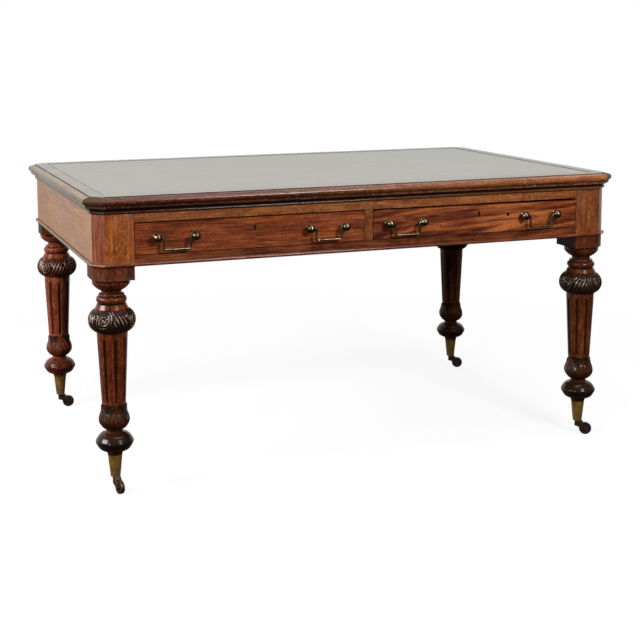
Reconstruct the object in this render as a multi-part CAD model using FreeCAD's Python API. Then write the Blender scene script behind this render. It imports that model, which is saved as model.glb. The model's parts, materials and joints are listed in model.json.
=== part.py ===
import FreeCAD, Part
import math
import os

os.makedirs("parts", exist_ok=True)

V = FreeCAD.Vector
ORIGIN = V(0, 0, 0)
EAST = V(1, 0, 0)
NORTH = V(0, 1, 0)
UP = V(0, 0, 1)

# A partners' writing table. Origin on the floor under the middle, +X along the length, front towards -Y.
# All lengths are in millimetres.

# Overall size, over the moulded edge of the top
desk_length = 1500.0
desk_depth = 955.0
desk_height = 762.0

# Top: board with inset leather, flat border and thumb-moulded edge
top_thickness = 22.0
leather_thickness = 1.6
border_width = 38.0
edge_overhang = 23.0
edge_width = 19.0
edge_return = 7.0
edge_quirk = 1.8
thumb_fall = 6.0
nose_setback = 1.5
thumb_bow_share = 0.07
nose_bow_share = 0.254

# Frieze: posts, rails, stiles, end panels and the partition between the drawers
frieze_height = 154.0
top_rail_height = 45.0
bottom_rail_height = 28.0
rail_thickness = 22.0
bottom_rail_depth = 40.0
stile_width = 22.0
panel_thickness = 22.0
partition_thickness = 18.0
post_size = 100.0
post_cant = 27.0
block_drop = 34.0
tenon_length = 30.0
tenon_thickness = 8.0
tenon_setback = 7.0
tenon_shoulder = 4.0
tenon_fit = 0.1

# Mouldings on the frieze face
cornice_height = 21.0
cornice_reach = 16.0
cornice_fillet = 6.0
cornice_bead = 6.0
cornice_root = 3.0
cove_bow_share = 0.2
bead_height = 9.5
bead_reach = 7.0

# Turned leg, from the block down; the column takes the height that is left
abacus_height = 3.0
abacus_radius = 48.0
capital_groove_height = 1.5
capital_groove_radius = 46.0
capital_band_height = 7.0
capital_band_radius = 47.5
echinus_height = 18.5
echinus_bow_share = 0.08
neck_radius = 25.5
neck_height = 8.0
small_bead_height = 6.0
small_bead_radius = 30.0
small_bead_bow_share = 0.45
large_bead_height = 17.0
large_bead_radius = 33.0
large_bead_bow_share = 0.33
groove_height = 3.0
groove_radius = 34.0
collar_height = 11.0
collar_top_radius = 36.5
collar_bottom_radius = 42.0
ball_height = 60.0
ball_radius = 60.0
column_top_radius = 39.0
column_bottom_radius = 30.0
bud_height = 65.0
bud_tip_radius = 33.0
bud_shoulder_height = 44.0
bud_shoulder_radius = 35.2
bud_belly_height = 24.5
bud_belly_radius = 41.0
bud_bottom_radius = 22.0
bud_hollow_bow_share = 0.03
bud_shoulder_bow_share = 0.05
bud_belly_bow_share = 0.15
stem_height = 8.0
stem_radius = 20.5
disc_height = 48.0
disc_end_radius = 24.0
disc_shoulder_height = 31.0
disc_shoulder_radius = 45.0
disc_heel_height = 15.5
disc_heel_radius = 44.0
disc_slope_bow_share = 0.06
disc_nose_bow_share = 0.22
disc_heel_bow_share = 0.12
foot_height = 11.5
foot_top_radius = 22.0

# Carving of the leg: flutes on the column, leaves on the bud, lobes on the ball
carving_count = 8
flute_top_radius = 5.0
flute_bottom_radius = 3.6
flute_top_margin = 15.0
flute_bottom_margin = 5.0
leaf_count = 4
leaf_depth = 3.0
leaf_join_height = 31.0
leaf_gap_width = 30.0
lobe_groove_width = 4.0
lobe_groove_depth = 2.5
lobe_margin = 5.0

# Castor: cup on the leg, horn that swivels in it, wheel on an axle pin
wheel_radius = 17.5
wheel_width = 11.0
wheel_web_recess = 2.0
wheel_rim = 3.5
wheel_hub_radius = 6.0
wheel_crown = 0.8
wheel_gap = 0.5
castor_trail = 23.0
horn_height = 41.0
horn_radius = 7.5
horn_drop = 17.0
crown_reach = 12.0
eye_radius = 6.5
cheek_thickness = 2.5
axle_radius = 2.5
axle_head_radius = 4.0
axle_head_height = 1.2
axle_fit = 0.05
swivel_pin_radius = 4.0
swivel_head_radius = 6.5
swivel_head_height = 3.0
swivel_fit = 0.05
swivel_play = 0.2
cup_height = 57.5
cup_top_radius = 18.5
cup_bottom_radius = 12.5
cup_wall = 2.0
cup_floor = 13.0
spigot_gap = 2.0
spigot_fit = 0.1

# Drawers
face_thickness = 20.0
face_side_gap = 1.5
face_top_gap = 2.4
face_bottom_gap = 0.6
drawers_apart = 109.0
side_thickness = 12.0
side_height = 72.0
back_thickness = 10.0
back_drop = 6.0
bottom_thickness = 6.0
bottom_rise = 8.0
groove_depth = 5.0
slide_gap = 0.3
tail_count = 3
tail_length = 14.0
tail_end_width = 18.0
tail_root_width = 13.0

# What carries and guides the drawers
runner_width = 24.0
runner_height = 16.0
guide_width = 18.0
guide_rise = 22.0
kicker_height = 16.0
stop_width = 30.0
stop_depth = 14.0
stop_height = 5.0
stop_offset = 120.0

# Bail handles on ball posts
handle_place_share = 0.327
handle_height = 42.5
post_spacing = 98.5
knob_radius = 11.3
knob_reach = 18.0
rose_radius = 9.0
rose_edge = 1.2
rose_thickness = 3.5
rose_bow_share = 0.08
post_neck_radius = 4.5
shank_radius = 2.5
shank_fit = 0.05
shank_proud = 2.0
nut_size = 9.0
nut_thickness = 4.0
rod_radius = 3.0
bend_radius = 3.6
bail_drop = 31.0
pivot_radius = 2.4
pivot_inset = 3.0
pivot_fit = 0.05
pivot_gap = 0.3

# Drawer locks and their escutcheons
lock_width = 56.0
lock_height = 38.0
lock_thickness = 11.0
lock_wall = 2.5
bolt_width = 24.0
bolt_height = 16.0
bolt_thickness = 5.0
bolt_fit = 0.15
bolt_travel = 6.0
strike_clearance = 0.6
keyhole_height = 55.0
keyhole_radius = 3.0
keyhole_slot_width = 3.2
keyhole_slot_length = 9.0
escutcheon_wall = 1.6
escutcheon_depth = 3.0

# Height of a half round and of a quarter round over their chords
half_round_share = 0.5
quarter_round_share = (math.sqrt(2) - 1) / 2

# How far a cutting tool runs past the face it cuts
overrun = 5.0

# Corners of the table: signs of X and Y, and the way each castor trails, in degrees from +X
corners = {"front_left": (-1, -1), "front_right": (1, -1), "back_left": (-1, 1), "back_right": (1, 1)}
castor_angles = {"front_left": -75, "front_right": -33, "back_left": -9, "back_right": -27}

# How far the handles and the lock of each drawer stand off its middle, towards +X
handle_shifts = {"front_left": -2.0, "front_right": -14.0, "back_left": 0.0, "back_right": 0.0}
lock_shifts = {"front_left": 5.0, "front_right": 5.0, "back_left": 0.0, "back_right": 0.0}

# Levels and plan limits that follow from the sizes above
top_underside = desk_height - top_thickness
frieze_bottom = top_underside - frieze_height
opening_bottom = frieze_bottom + bottom_rail_height
opening_top = top_underside - top_rail_height
block_bottom = frieze_bottom - block_drop
frieze_half_x = desk_length / 2 - edge_overhang
frieze_half_y = desk_depth / 2 - edge_overhang
post_inner_x = frieze_half_x - post_size
post_inner_y = frieze_half_y - post_size
leg_x = frieze_half_x - post_size / 2
leg_y = frieze_half_y - post_size / 2
opening_width = post_inner_x - stile_width / 2
drawer_centre = stile_width / 2 + opening_width / 2
handle_offset = opening_width * handle_place_share
rail_inner_y = frieze_half_y - rail_thickness
bearer_inner_y = frieze_half_y - bottom_rail_depth
quirk_offset = edge_overhang - edge_width
leather_half_x = frieze_half_x + quirk_offset - border_width
leather_half_y = frieze_half_y + quirk_offset - border_width

socket_top = horn_height + cup_height
foot_top = socket_top + foot_height
disc_top = foot_top + disc_height
bud_bottom = disc_top + stem_height
bud_top = bud_bottom + bud_height
abacus_bottom = block_bottom - abacus_height
capital_band_top = abacus_bottom - capital_groove_height
capital_band_bottom = capital_band_top - capital_band_height
echinus_bottom = capital_band_bottom - echinus_height
small_bead_top = echinus_bottom - neck_height
large_bead_top = small_bead_top - small_bead_height
groove_top = large_bead_top - large_bead_height
collar_top = groove_top - groove_height
ball_top = collar_top - collar_height
ball_bottom = ball_top - ball_height


class Outline:
    """A closed outline of lines and arcs in the XZ plane, X outwards and Z up."""

    def __init__(self, x, z):
        self.start = V(x, 0, z)
        self.here = self.start
        self.edges = []

    def line(self, x, z):
        there = V(x, 0, z)
        self.edges.append(Part.LineSegment(self.here, there).toShape())
        self.here = there

    def arc(self, x, z, bow_share):
        """An arc that stands off its chord, to the left of the way it runs, by a share of the chord."""
        there = V(x, 0, z)
        chord = there - self.here
        left = V(-chord.z, 0, chord.x)
        middle = (self.here + there) * 0.5 + left * bow_share
        self.edges.append(Part.Arc(self.here, middle, there).toShape())
        self.here = there

    def face(self):
        self.edges.append(Part.LineSegment(self.here, self.start).toShape())
        return Part.Face(Part.Wire(self.edges))

    def turned(self):
        return self.face().revolve(ORIGIN, UP, 360)


def box(x0, x1, y0, y1, z0, z1):
    """A block between its limits on each axis."""
    return Part.makeBox(x1 - x0, y1 - y0, z1 - z0, V(x0, y0, z0))


def prism(points, bottom, top):
    """An upright prism on a plan outline."""
    plan = [V(p.x, p.y, bottom) for p in points]
    face = Part.Face(Part.makePolygon(plan + plan[:1]))
    return face.extrude(UP * (top - bottom))


def mirrored(shape, sign_x, sign_y):
    """A shape modelled in the +X +Y quarter, moved by mirroring to another quarter."""
    if sign_x < 0:
        shape = shape.mirror(ORIGIN, EAST)
    if sign_y < 0:
        shape = shape.mirror(ORIGIN, NORTH)
    return shape


def moved(shape, x, y, z):
    """A copy of a shape, moved."""
    copy = shape.copy()
    copy.translate(V(x, y, z))
    return copy


def turned_round(shape, angle):
    """A copy of a shape, turned about the Z axis."""
    copy = shape.copy()
    copy.rotate(ORIGIN, UP, angle)
    return copy


def octagon(offset):
    """Plan corners of the frieze, with its canted corners, stood off evenly by an offset."""
    half_x = frieze_half_x + offset
    half_y = frieze_half_y + offset
    cant = post_cant + offset * (2 - math.sqrt(2))
    points = []
    for sign_x, sign_y in ((1, -1), (1, 1), (-1, 1), (-1, -1)):
        on_side = V(sign_x * (half_x - cant), sign_y * half_y, 0)
        on_end = V(sign_x * half_x, sign_y * (half_y - cant), 0)
        points += [on_side, on_end] if sign_x * sign_y < 0 else [on_end, on_side]
    return points


def mitred_ring(section, inner, outer, bottom, top):
    """The lengths of one moulding round the frieze, mitred where they meet."""
    face_line = octagon(0)
    inner_line = octagon(inner)
    outer_line = octagon(outer)
    lengths = []
    for i, start in enumerate(face_line):
        j = (i + 1) % len(face_line)
        along = face_line[j] - start
        outward = along.cross(UP)
        angle = math.degrees(math.atan2(outward.y, outward.x))
        run_past = along * ((outer + overrun) / along.Length)
        bar = turned_round(section, angle)
        bar.translate(start - run_past)
        bar = bar.extrude(along + run_past * 2)
        plan = [inner_line[i], outer_line[i], outer_line[j], inner_line[j]]
        lengths.append(bar.common(prism(plan, bottom, top)).Solids[0])
    return lengths


# Top


def top_edge():
    """Thumb moulding round the top: a quirk, a slope that falls to a round nose, and a set-back underside."""
    thumb_top = desk_height - edge_quirk
    section = Outline(quirk_offset, thumb_top)
    section.line(quirk_offset, top_underside)
    section.line(edge_overhang - edge_return, top_underside)
    section.arc(edge_overhang - nose_setback, thumb_top - thumb_fall, -nose_bow_share)
    section.arc(quirk_offset, thumb_top, -thumb_bow_share)
    return Part.Face(Part.Wire(section.edges))


def top_border():
    """Four mitred strips between the leather and the moulded edge, round the canted corners."""
    rim = octagon(quirk_offset)
    strips = []
    for i in range(0, len(rim), 2):
        first = rim[i - 1]
        last = rim[i]
        before = (rim[i - 2] + first) * 0.5
        after = (last + rim[i + 1]) * 0.5
        inner_first = V(math.copysign(leather_half_x, first.x), math.copysign(leather_half_y, first.y), 0)
        inner_last = V(math.copysign(leather_half_x, last.x), math.copysign(leather_half_y, last.y), 0)
        plan = [inner_first, before, first, last, after, inner_last]
        strips.append(prism(plan, top_underside, desk_height))
    return strips


def leather_field(bottom, top):
    """A flat piece of the size of the leather."""
    return box(-leather_half_x, leather_half_x, -leather_half_y, leather_half_y, bottom, top)


# Mouldings


def cornice_section():
    """Fillet, cove and bead under the top."""
    cornice_bottom = top_underside - cornice_height
    bead_top = cornice_bottom + cornice_bead
    section = Outline(0, top_underside)
    section.line(cornice_reach, top_underside)
    section.line(cornice_reach, top_underside - cornice_fillet)
    section.arc(cornice_root, bead_top, -cove_bow_share)
    section.arc(cornice_root, cornice_bottom, half_round_share)
    section.line(0, cornice_bottom)
    return section.face()


def bead_section():
    """Half-round bead along the bottom of the frieze."""
    root = bead_reach - bead_height / 2
    section = Outline(0, frieze_bottom + bead_height)
    section.line(root, frieze_bottom + bead_height)
    section.arc(root, frieze_bottom, half_round_share)
    section.line(0, frieze_bottom)
    return section.face()


# Frame


def tenon_along_x(reach_in, z0, z1, fit):
    """A rail's tenon in the post of the +X +Y quarter, or the mortise for it with a fit all round."""
    outer = frieze_half_y - tenon_setback + fit
    inner = outer - tenon_thickness - fit * 2
    return box(reach_in, post_inner_x + tenon_length + fit, inner, outer, z0 - fit, z1 + fit)


def tenon_along_y(reach_in, z0, z1, fit):
    """An end panel's tenon in the post of the +X +Y quarter, or the mortise for it."""
    outer = frieze_half_x - tenon_setback + fit
    inner = outer - tenon_thickness - fit * 2
    return box(inner, outer, reach_in, post_inner_y + tenon_length + fit, z0 - fit, z1 + fit)


top_rail_tenon = (opening_top + tenon_shoulder, top_underside - tenon_shoulder)
bottom_rail_tenon = (frieze_bottom + tenon_shoulder, opening_bottom - tenon_shoulder)
panel_tenon = (frieze_bottom + tenon_shoulder, top_underside - tenon_shoulder)


def rail(depth, z0, z1, tenon):
    """A rail on the +Y side, with a tenon at each end."""
    bar = box(-post_inner_x, post_inner_x, frieze_half_y - depth, frieze_half_y, z0, z1)
    end = tenon_along_x(0, tenon[0], tenon[1], 0)
    return bar.fuse([end, end.mirror(ORIGIN, EAST)]).removeSplitter()


def top_rail(locks):
    """Rail over the drawers of the +Y side, with a mortise for the bolt of each lock."""
    bar = rail(rail_thickness, opening_top, top_underside, top_rail_tenon)
    half_width = bolt_width / 2 + strike_clearance
    bolt_y = frieze_half_y - face_thickness + lock_thickness / 2
    half_depth = bolt_thickness / 2 + strike_clearance
    roof = opening_top - face_top_gap + bolt_travel + strike_clearance
    for centre in locks:
        strike = box(centre - half_width, centre + half_width, bolt_y - half_depth, bolt_y + half_depth,
                     opening_top - overrun, roof)
        bar = bar.cut(strike)
    return bar


def end_panel():
    """Panel between two posts on the +X end, with a tenon at each side."""
    board = box(frieze_half_x - panel_thickness, frieze_half_x, -post_inner_y, post_inner_y,
                frieze_bottom, top_underside)
    end = tenon_along_y(0, panel_tenon[0], panel_tenon[1], 0)
    return board.fuse([end, end.mirror(ORIGIN, NORTH)]).removeSplitter()


def stile():
    """Upright between the two drawers of the +Y side."""
    return box(-stile_width / 2, stile_width / 2, bearer_inner_y, frieze_half_y, opening_bottom, opening_top)


def partition():
    """Board along the depth between the left and right drawers."""
    half = partition_thickness / 2
    return box(-half, half, -bearer_inner_y, bearer_inner_y, frieze_bottom, top_underside)


def drawer_bearers():
    """Runners under the drawer sides, guides beside them, kickers over them and stops behind the faces."""
    inner = partition_thickness / 2
    runner_bottom = opening_bottom - runner_height
    strips = []
    for sign in (-1, 1):
        for x in (inner, post_inner_x - runner_width):
            strip = box(x, x + runner_width, -bearer_inner_y, bearer_inner_y, runner_bottom, opening_bottom)
            strips.append(mirrored(strip, sign, 1))
            strip = box(x, x + runner_width, -rail_inner_y, rail_inner_y,
                        opening_top, opening_top + kicker_height)
            strips.append(mirrored(strip, sign, 1))
        strip = box(post_inner_x, post_inner_x + guide_width, -post_inner_y, post_inner_y,
                    runner_bottom, opening_bottom + guide_rise)
        strips.append(mirrored(strip, sign, 1))
        for x in (drawer_centre - stop_offset, drawer_centre + stop_offset):
            back = frieze_half_y - face_thickness - slide_gap
            block = box(x - stop_width / 2, x + stop_width / 2, back - stop_depth, back,
                        opening_bottom, opening_bottom + stop_height)
            strips.append(mirrored(block, sign, 1))
            strips.append(mirrored(block, sign, -1))
    return strips


# Legs


def cup_radius(height):
    """Outer radius of the tapered castor cup at a height."""
    return cup_bottom_radius + (cup_top_radius - cup_bottom_radius) * (height - horn_height) / cup_height


def ball_outline(inset, margin):
    """Outline of the carved ball, drawn in by an inset, closed along the axis."""
    half_chord = ball_height / 2
    swell = ball_radius - column_top_radius
    shape = Outline(0, ball_top + margin)
    shape.line(column_top_radius - inset, ball_top + margin)
    shape.line(column_top_radius - inset, ball_top)
    shape.arc(column_top_radius - inset, ball_bottom, swell / (half_chord * 2))
    shape.line(column_top_radius - inset, ball_bottom - margin)
    shape.line(0, ball_bottom - margin)
    return shape


def bud_curve(shape, inset):
    """Adds the lotus bud's side, from its leaf tips down, drawn in by an inset."""
    shape.line(bud_tip_radius - inset, bud_top)
    shape.arc(bud_shoulder_radius - inset, bud_bottom + bud_shoulder_height, -bud_hollow_bow_share)
    shape.arc(bud_belly_radius - inset, bud_bottom + bud_belly_height, bud_shoulder_bow_share)
    shape.arc(bud_bottom_radius - inset, bud_bottom, bud_belly_bow_share)


def leg_turning():
    """The turned length of a leg about its own axis, from the block down to the spigot in the castor cup."""
    spigot_bottom = horn_height + cup_floor + swivel_head_height + spigot_gap
    wall = cup_wall + spigot_fit
    shape = Outline(0, block_bottom)
    shape.line(abacus_radius, block_bottom)
    shape.line(abacus_radius, abacus_bottom)
    shape.line(capital_groove_radius, abacus_bottom)
    shape.line(capital_groove_radius, capital_band_top)
    shape.line(capital_band_radius, capital_band_top)
    shape.line(capital_band_radius, capital_band_bottom)
    shape.arc(neck_radius, echinus_bottom, echinus_bow_share)
    shape.line(neck_radius, small_bead_top)
    shape.line(small_bead_radius, small_bead_top)
    shape.arc(small_bead_radius, large_bead_top, small_bead_bow_share)
    shape.line(large_bead_radius, large_bead_top)
    shape.arc(large_bead_radius, groove_top, large_bead_bow_share)
    shape.line(groove_radius, groove_top)
    shape.line(groove_radius, collar_top)
    shape.line(collar_top_radius, collar_top)
    shape.line(collar_bottom_radius, ball_top)
    shape.line(column_top_radius, ball_top)
    shape.arc(column_top_radius, ball_bottom, (ball_radius - column_top_radius) / ball_height)
    shape.line(column_bottom_radius, bud_top)
    bud_curve(shape, 0)
    shape.line(stem_radius, bud_bottom - stem_height / 2)
    shape.line(disc_end_radius, disc_top)
    shape.arc(disc_shoulder_radius, foot_top + disc_shoulder_height, disc_slope_bow_share)
    shape.arc(disc_heel_radius, foot_top + disc_heel_height, disc_nose_bow_share)
    shape.arc(disc_end_radius, foot_top, disc_heel_bow_share)
    shape.line(foot_top_radius, foot_top)
    shape.line(cup_top_radius, socket_top)
    shape.line(cup_top_radius - wall, socket_top)
    shape.line(cup_radius(spigot_bottom) - wall, spigot_bottom)
    shape.line(0, spigot_bottom)
    return shape.turned()


def flute():
    """Tapered round-ended flute along the column, on the +X side."""
    fall = ball_bottom - bud_top
    slope = (column_top_radius - column_bottom_radius) / fall
    low = bud_top + flute_bottom_margin + flute_bottom_radius
    high = ball_bottom - flute_top_margin - flute_top_radius
    start = V(column_bottom_radius + slope * (low - bud_top), 0, low)
    end = V(column_bottom_radius + slope * (high - bud_top), 0, high)
    run = end - start
    groove = Part.makeCone(flute_bottom_radius, flute_top_radius, run.Length, start, run)
    return groove.fuse([Part.makeSphere(flute_bottom_radius, start), Part.makeSphere(flute_top_radius, end)])


def leaf_gap():
    """What is cut away between two leaves of the bud, down to a smaller bud inside, on the +X side."""
    half = leaf_gap_width / 2
    notch = [V(0, 0, bud_bottom + leaf_join_height), V(0, half, bud_top), V(0, -half, bud_top)]
    wedge = Part.Face(Part.makePolygon(notch + notch[:1])).extrude(EAST * (bud_belly_radius + overrun))
    core = Outline(0, bud_top)
    bud_curve(core, leaf_depth)
    core.line(0, bud_bottom)
    return wedge.cut(core.turned())


def lobe_groove():
    """The groove between two lobes of the ball, on the +X side."""
    half = lobe_groove_width / 2
    slot = box(0, ball_radius + overrun, -half, half, ball_bottom + lobe_margin, ball_top - lobe_margin)
    return slot.cut(ball_outline(lobe_groove_depth, overrun).turned())


def leg():
    """Leg of the +X +Y quarter: canted block with its mortises, and the carved turning under it."""
    block = box(post_inner_x, frieze_half_x, post_inner_y, frieze_half_y, block_bottom, top_underside)
    corner = [V(frieze_half_x, frieze_half_y - post_cant, 0), V(frieze_half_x, frieze_half_y, 0),
              V(frieze_half_x - post_cant, frieze_half_y, 0)]
    block = block.cut(prism(corner, block_bottom, top_underside))
    mortises = [tenon_along_y(post_inner_y - overrun, panel_tenon[0], panel_tenon[1], tenon_fit)]
    for z0, z1 in (top_rail_tenon, bottom_rail_tenon):
        mortises.append(tenon_along_x(post_inner_x - overrun, z0, z1, tenon_fit))
    block = block.cut(mortises)
    carving = []
    for i in range(carving_count):
        angle = i * 360 / carving_count
        half_step = 180 / carving_count
        carving.append(turned_round(flute(), angle))
        carving.append(turned_round(lobe_groove(), angle + half_step))
    for i in range(leaf_count):
        carving.append(turned_round(leaf_gap(), i * 360 / leaf_count + 180 / leaf_count))
    turning = leg_turning().cut(carving)
    return block.fuse(moved(turning, leg_x, leg_y, 0)).removeSplitter()


# Castors, about the axis of their leg, trailing towards +X


def castor_cup():
    """Tapered brass cup that the leg's spigot sits in, with a thick floor for the swivel pin."""
    floor_top = horn_height + cup_floor
    shape = Outline(0, horn_height)
    shape.line(cup_bottom_radius, horn_height)
    shape.line(cup_top_radius, socket_top)
    shape.line(cup_top_radius - cup_wall, socket_top)
    shape.line(cup_radius(floor_top) - cup_wall, floor_top)
    shape.line(0, floor_top)
    bore_bottom = V(0, 0, horn_height - overrun)
    bore = Part.makeCylinder(swivel_pin_radius + swivel_fit, cup_floor + overrun * 2, bore_bottom)
    return shape.turned().cut(bore)


def across(radius, width, x, z):
    """A cylinder along Y, centred on the castor's middle plane."""
    return Part.makeCylinder(radius, width, V(x, -width / 2, z), NORTH)


def castor_fork():
    """Horn with its swivel pin and the two cheeks that hold the axle."""
    width = wheel_width + (wheel_gap + cheek_thickness) * 2
    slot_width = wheel_width + wheel_gap * 2
    horn_bottom = horn_height - horn_drop
    boss = Part.makeCylinder(horn_radius, horn_drop, V(0, 0, horn_bottom))
    side = Outline(0, horn_height)
    side.line(0, horn_bottom)
    side.line(castor_trail, wheel_radius - eye_radius)
    side.line(castor_trail + eye_radius, wheel_radius)
    side.line(crown_reach, horn_height)
    arm = side.face().extrude(NORTH * width)
    arm.translate(V(0, -width / 2, 0))
    body = boss.fuse([arm, across(eye_radius, width, castor_trail, wheel_radius)])
    body = body.cut(across(wheel_radius + wheel_gap * 2, slot_width, castor_trail, wheel_radius))
    body = body.cut(across(axle_radius + axle_fit, width + overrun, castor_trail, wheel_radius))
    pin_length = cup_floor + swivel_play
    pin = Part.makeCylinder(swivel_pin_radius, pin_length, V(0, 0, horn_height))
    head = Part.makeCylinder(swivel_head_radius, swivel_head_height, V(0, 0, horn_height + pin_length))
    return body.fuse([pin, head]).removeSplitter()


def axle_pin():
    """Axle with a riveted head at each side of the fork."""
    width = wheel_width + (wheel_gap + cheek_thickness) * 2
    pin = across(axle_radius, width + axle_head_height * 2, castor_trail, wheel_radius)
    heads = across(axle_head_radius, width + axle_head_height * 2, castor_trail, wheel_radius)
    heads = heads.cut(across(axle_head_radius + overrun, width, castor_trail, wheel_radius))
    return pin.fuse(heads).removeSplitter()


def castor_wheel():
    """Wheel with a crowned tread, a rim, a recessed web and a hub, bored for the axle."""
    half = wheel_width / 2
    web = half - wheel_web_recess
    rim_inner = wheel_radius - wheel_rim
    bore = axle_radius + axle_fit
    shape = Outline(bore, half)
    shape.line(wheel_hub_radius, half)
    shape.line(wheel_hub_radius, web)
    shape.line(rim_inner, web)
    shape.line(rim_inner, half)
    shape.line(wheel_radius - wheel_crown, half)
    shape.arc(wheel_radius - wheel_crown, -half, wheel_crown / wheel_width)
    shape.line(rim_inner, -half)
    shape.line(rim_inner, -web)
    shape.line(wheel_hub_radius, -web)
    shape.line(wheel_hub_radius, -half)
    shape.line(bore, -half)
    wheel = shape.turned()
    wheel.rotate(ORIGIN, EAST, 90)
    return moved(wheel, castor_trail, 0, wheel_radius)


# Drawers, as the one in the middle of the front, facing -Y

face_front = -frieze_half_y
face_back = face_front + face_thickness
drawer_back = -drawers_apart / 2
drawer_half = opening_width / 2 - face_side_gap
box_half = drawer_half - side_thickness
face_bottom = opening_bottom + face_bottom_gap
face_top = opening_top - face_top_gap
side_bottom = opening_bottom + slide_gap
side_top = side_bottom + side_height
panel_bottom = side_bottom + bottom_rise
panel_top = panel_bottom + bottom_thickness
knob_z = opening_bottom + handle_height
knob_y = face_front - knob_reach
keyhole_z = opening_bottom + keyhole_height
lock_front = face_back - lock_thickness
lock_bottom = face_top - lock_height


def knob_places(shift):
    """Where the four ball posts stand along a face, with its handles shifted."""
    places = []
    for middle in (shift - handle_offset, shift + handle_offset):
        places += [middle - post_spacing / 2, middle + post_spacing / 2]
    return places


def drawer_tails(sign):
    """Dovetails at the front end of one drawer side."""
    pitch = side_height / tail_count
    tails = []
    for i in range(tail_count):
        z = side_bottom + pitch * (i + 0.5)
        root = tail_root_width / 2
        end = tail_end_width / 2
        tip = face_back - tail_length
        points = [V(0, face_back, z - root), V(0, tip, z - end),
                  V(0, tip, z + end), V(0, face_back, z + root)]
        tail = Part.Face(Part.makePolygon(points + points[:1])).extrude(EAST * side_thickness)
        tail.translate(V(box_half, 0, 0))
        tails.append(mirrored(tail, sign, 1))
    return tails


def drawer_panel():
    """Thin bottom board, held in grooves and passing under the back."""
    half = box_half + groove_depth
    return box(-half, half, face_back - groove_depth, drawer_back, panel_bottom, panel_top)


def drawer_box():
    """Two dovetailed sides, grooved for the bottom, and the back between them."""
    pieces = []
    for sign in (-1, 1):
        side = box(box_half, drawer_half, face_back, drawer_back, side_bottom, side_top)
        side = mirrored(side, sign, 1).fuse(drawer_tails(sign)).removeSplitter()
        pieces.append(side.cut(drawer_panel()))
    pieces.append(box(-box_half, box_half, drawer_back - back_thickness, drawer_back,
                      panel_top, side_top - back_drop))
    return pieces


def keyhole(x, margin, front, back):
    """Keyhole shape along Y, widened by a margin."""
    radius = keyhole_radius + margin
    half = keyhole_slot_width / 2 + margin
    round_part = Part.makeCylinder(radius, back - front, V(x, front, keyhole_z), NORTH)
    slot = box(x - half, x + half, front, back, keyhole_z - keyhole_slot_length - margin, keyhole_z)
    return round_part.fuse(slot).removeSplitter()


def drawer_face(handles, lock):
    """Drawer front with its dovetail sockets, lock mortise, keyhole and handle holes."""
    board = box(-drawer_half, drawer_half, face_front, face_back, face_bottom, face_top)
    cuts = drawer_tails(-1) + drawer_tails(1) + [drawer_panel()]
    cuts.append(box(lock - lock_width / 2, lock + lock_width / 2, lock_front, face_back + overrun,
                    lock_bottom, face_top + overrun))
    cuts.append(keyhole(lock, 0, face_front - overrun, face_back))
    cuts.append(keyhole(lock, escutcheon_wall, face_front - overrun, face_front + escutcheon_depth))
    for x in knob_places(handles):
        start = V(x, face_front - overrun, knob_z)
        cuts.append(Part.makeCylinder(shank_radius + shank_fit, face_thickness + overrun * 2, start, NORTH))
    return board.cut(cuts)


def lock_pieces(x):
    """Lock case let into the back of the face, and the thin escutcheon round the keyhole."""
    case = box(x - lock_width / 2, x + lock_width / 2, lock_front, face_back, lock_bottom, face_top)
    half_x = bolt_width / 2 + bolt_fit
    half_y = bolt_thickness / 2 + bolt_fit
    middle = lock_front + lock_thickness / 2
    floor = face_top - bolt_height - bolt_fit
    case = case.cut(box(x - half_x, x + half_x, middle - half_y, middle + half_y, floor, face_top + overrun))
    case = case.cut(keyhole(x, 0, lock_front - overrun, face_back - lock_wall))
    ring = keyhole(x, escutcheon_wall, face_front, face_front + escutcheon_depth)
    ring = ring.cut(keyhole(x, 0, face_front - overrun, face_front + escutcheon_depth + overrun))
    return [case, ring]


def lock_bolt(x):
    """Bolt of the lock, drawn back level with the top of its case."""
    middle = lock_front + lock_thickness / 2
    half_width = bolt_width / 2
    half_depth = bolt_thickness / 2
    return box(x - half_width, x + half_width, middle - half_depth, middle + half_depth,
               face_top - bolt_height, face_top)


def knob_post(x, bore_sign):
    """Ball post with its rose, its shank through the face and a bore for the bail's pivot on one side."""
    shank_end = -face_thickness - nut_thickness - shank_proud
    shape = Outline(0, knob_reach)
    shape.line(0, shank_end)
    shape.line(shank_radius, shank_end)
    shape.line(shank_radius, 0)
    shape.line(rose_radius, 0)
    shape.line(rose_radius, rose_edge)
    shape.arc(post_neck_radius, rose_thickness, -rose_bow_share)
    shape.line(post_neck_radius, knob_reach)
    post = shape.turned().fuse(Part.makeSphere(knob_radius, V(0, 0, knob_reach)))
    post.rotate(ORIGIN, EAST, 90)
    post.translate(V(x, face_front, knob_z))
    bore_start = V(x + bore_sign * (pivot_inset - pivot_gap), knob_y, knob_z)
    bore = Part.makeCylinder(pivot_radius + pivot_fit, knob_radius, bore_start, EAST * bore_sign)
    return post.removeSplitter().cut(bore)


def shank_nut(x):
    """Square nut on the inner end of a shank."""
    half = nut_size / 2
    nut = box(x - half, x + half, face_back, face_back + nut_thickness, knob_z - half, knob_z + half)
    hole = Part.makeCylinder(shank_radius + shank_fit, nut_thickness, V(x, face_back, knob_z), NORTH)
    return nut.cut(hole)


def handle_posts(shift):
    """The four ball posts of a drawer and their nuts."""
    pieces = []
    for i, x in enumerate(knob_places(shift)):
        bore_sign = 1 if i % 2 == 0 else -1
        pieces.append(knob_post(x, bore_sign))
        pieces.append(shank_nut(x))
    return pieces


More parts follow.
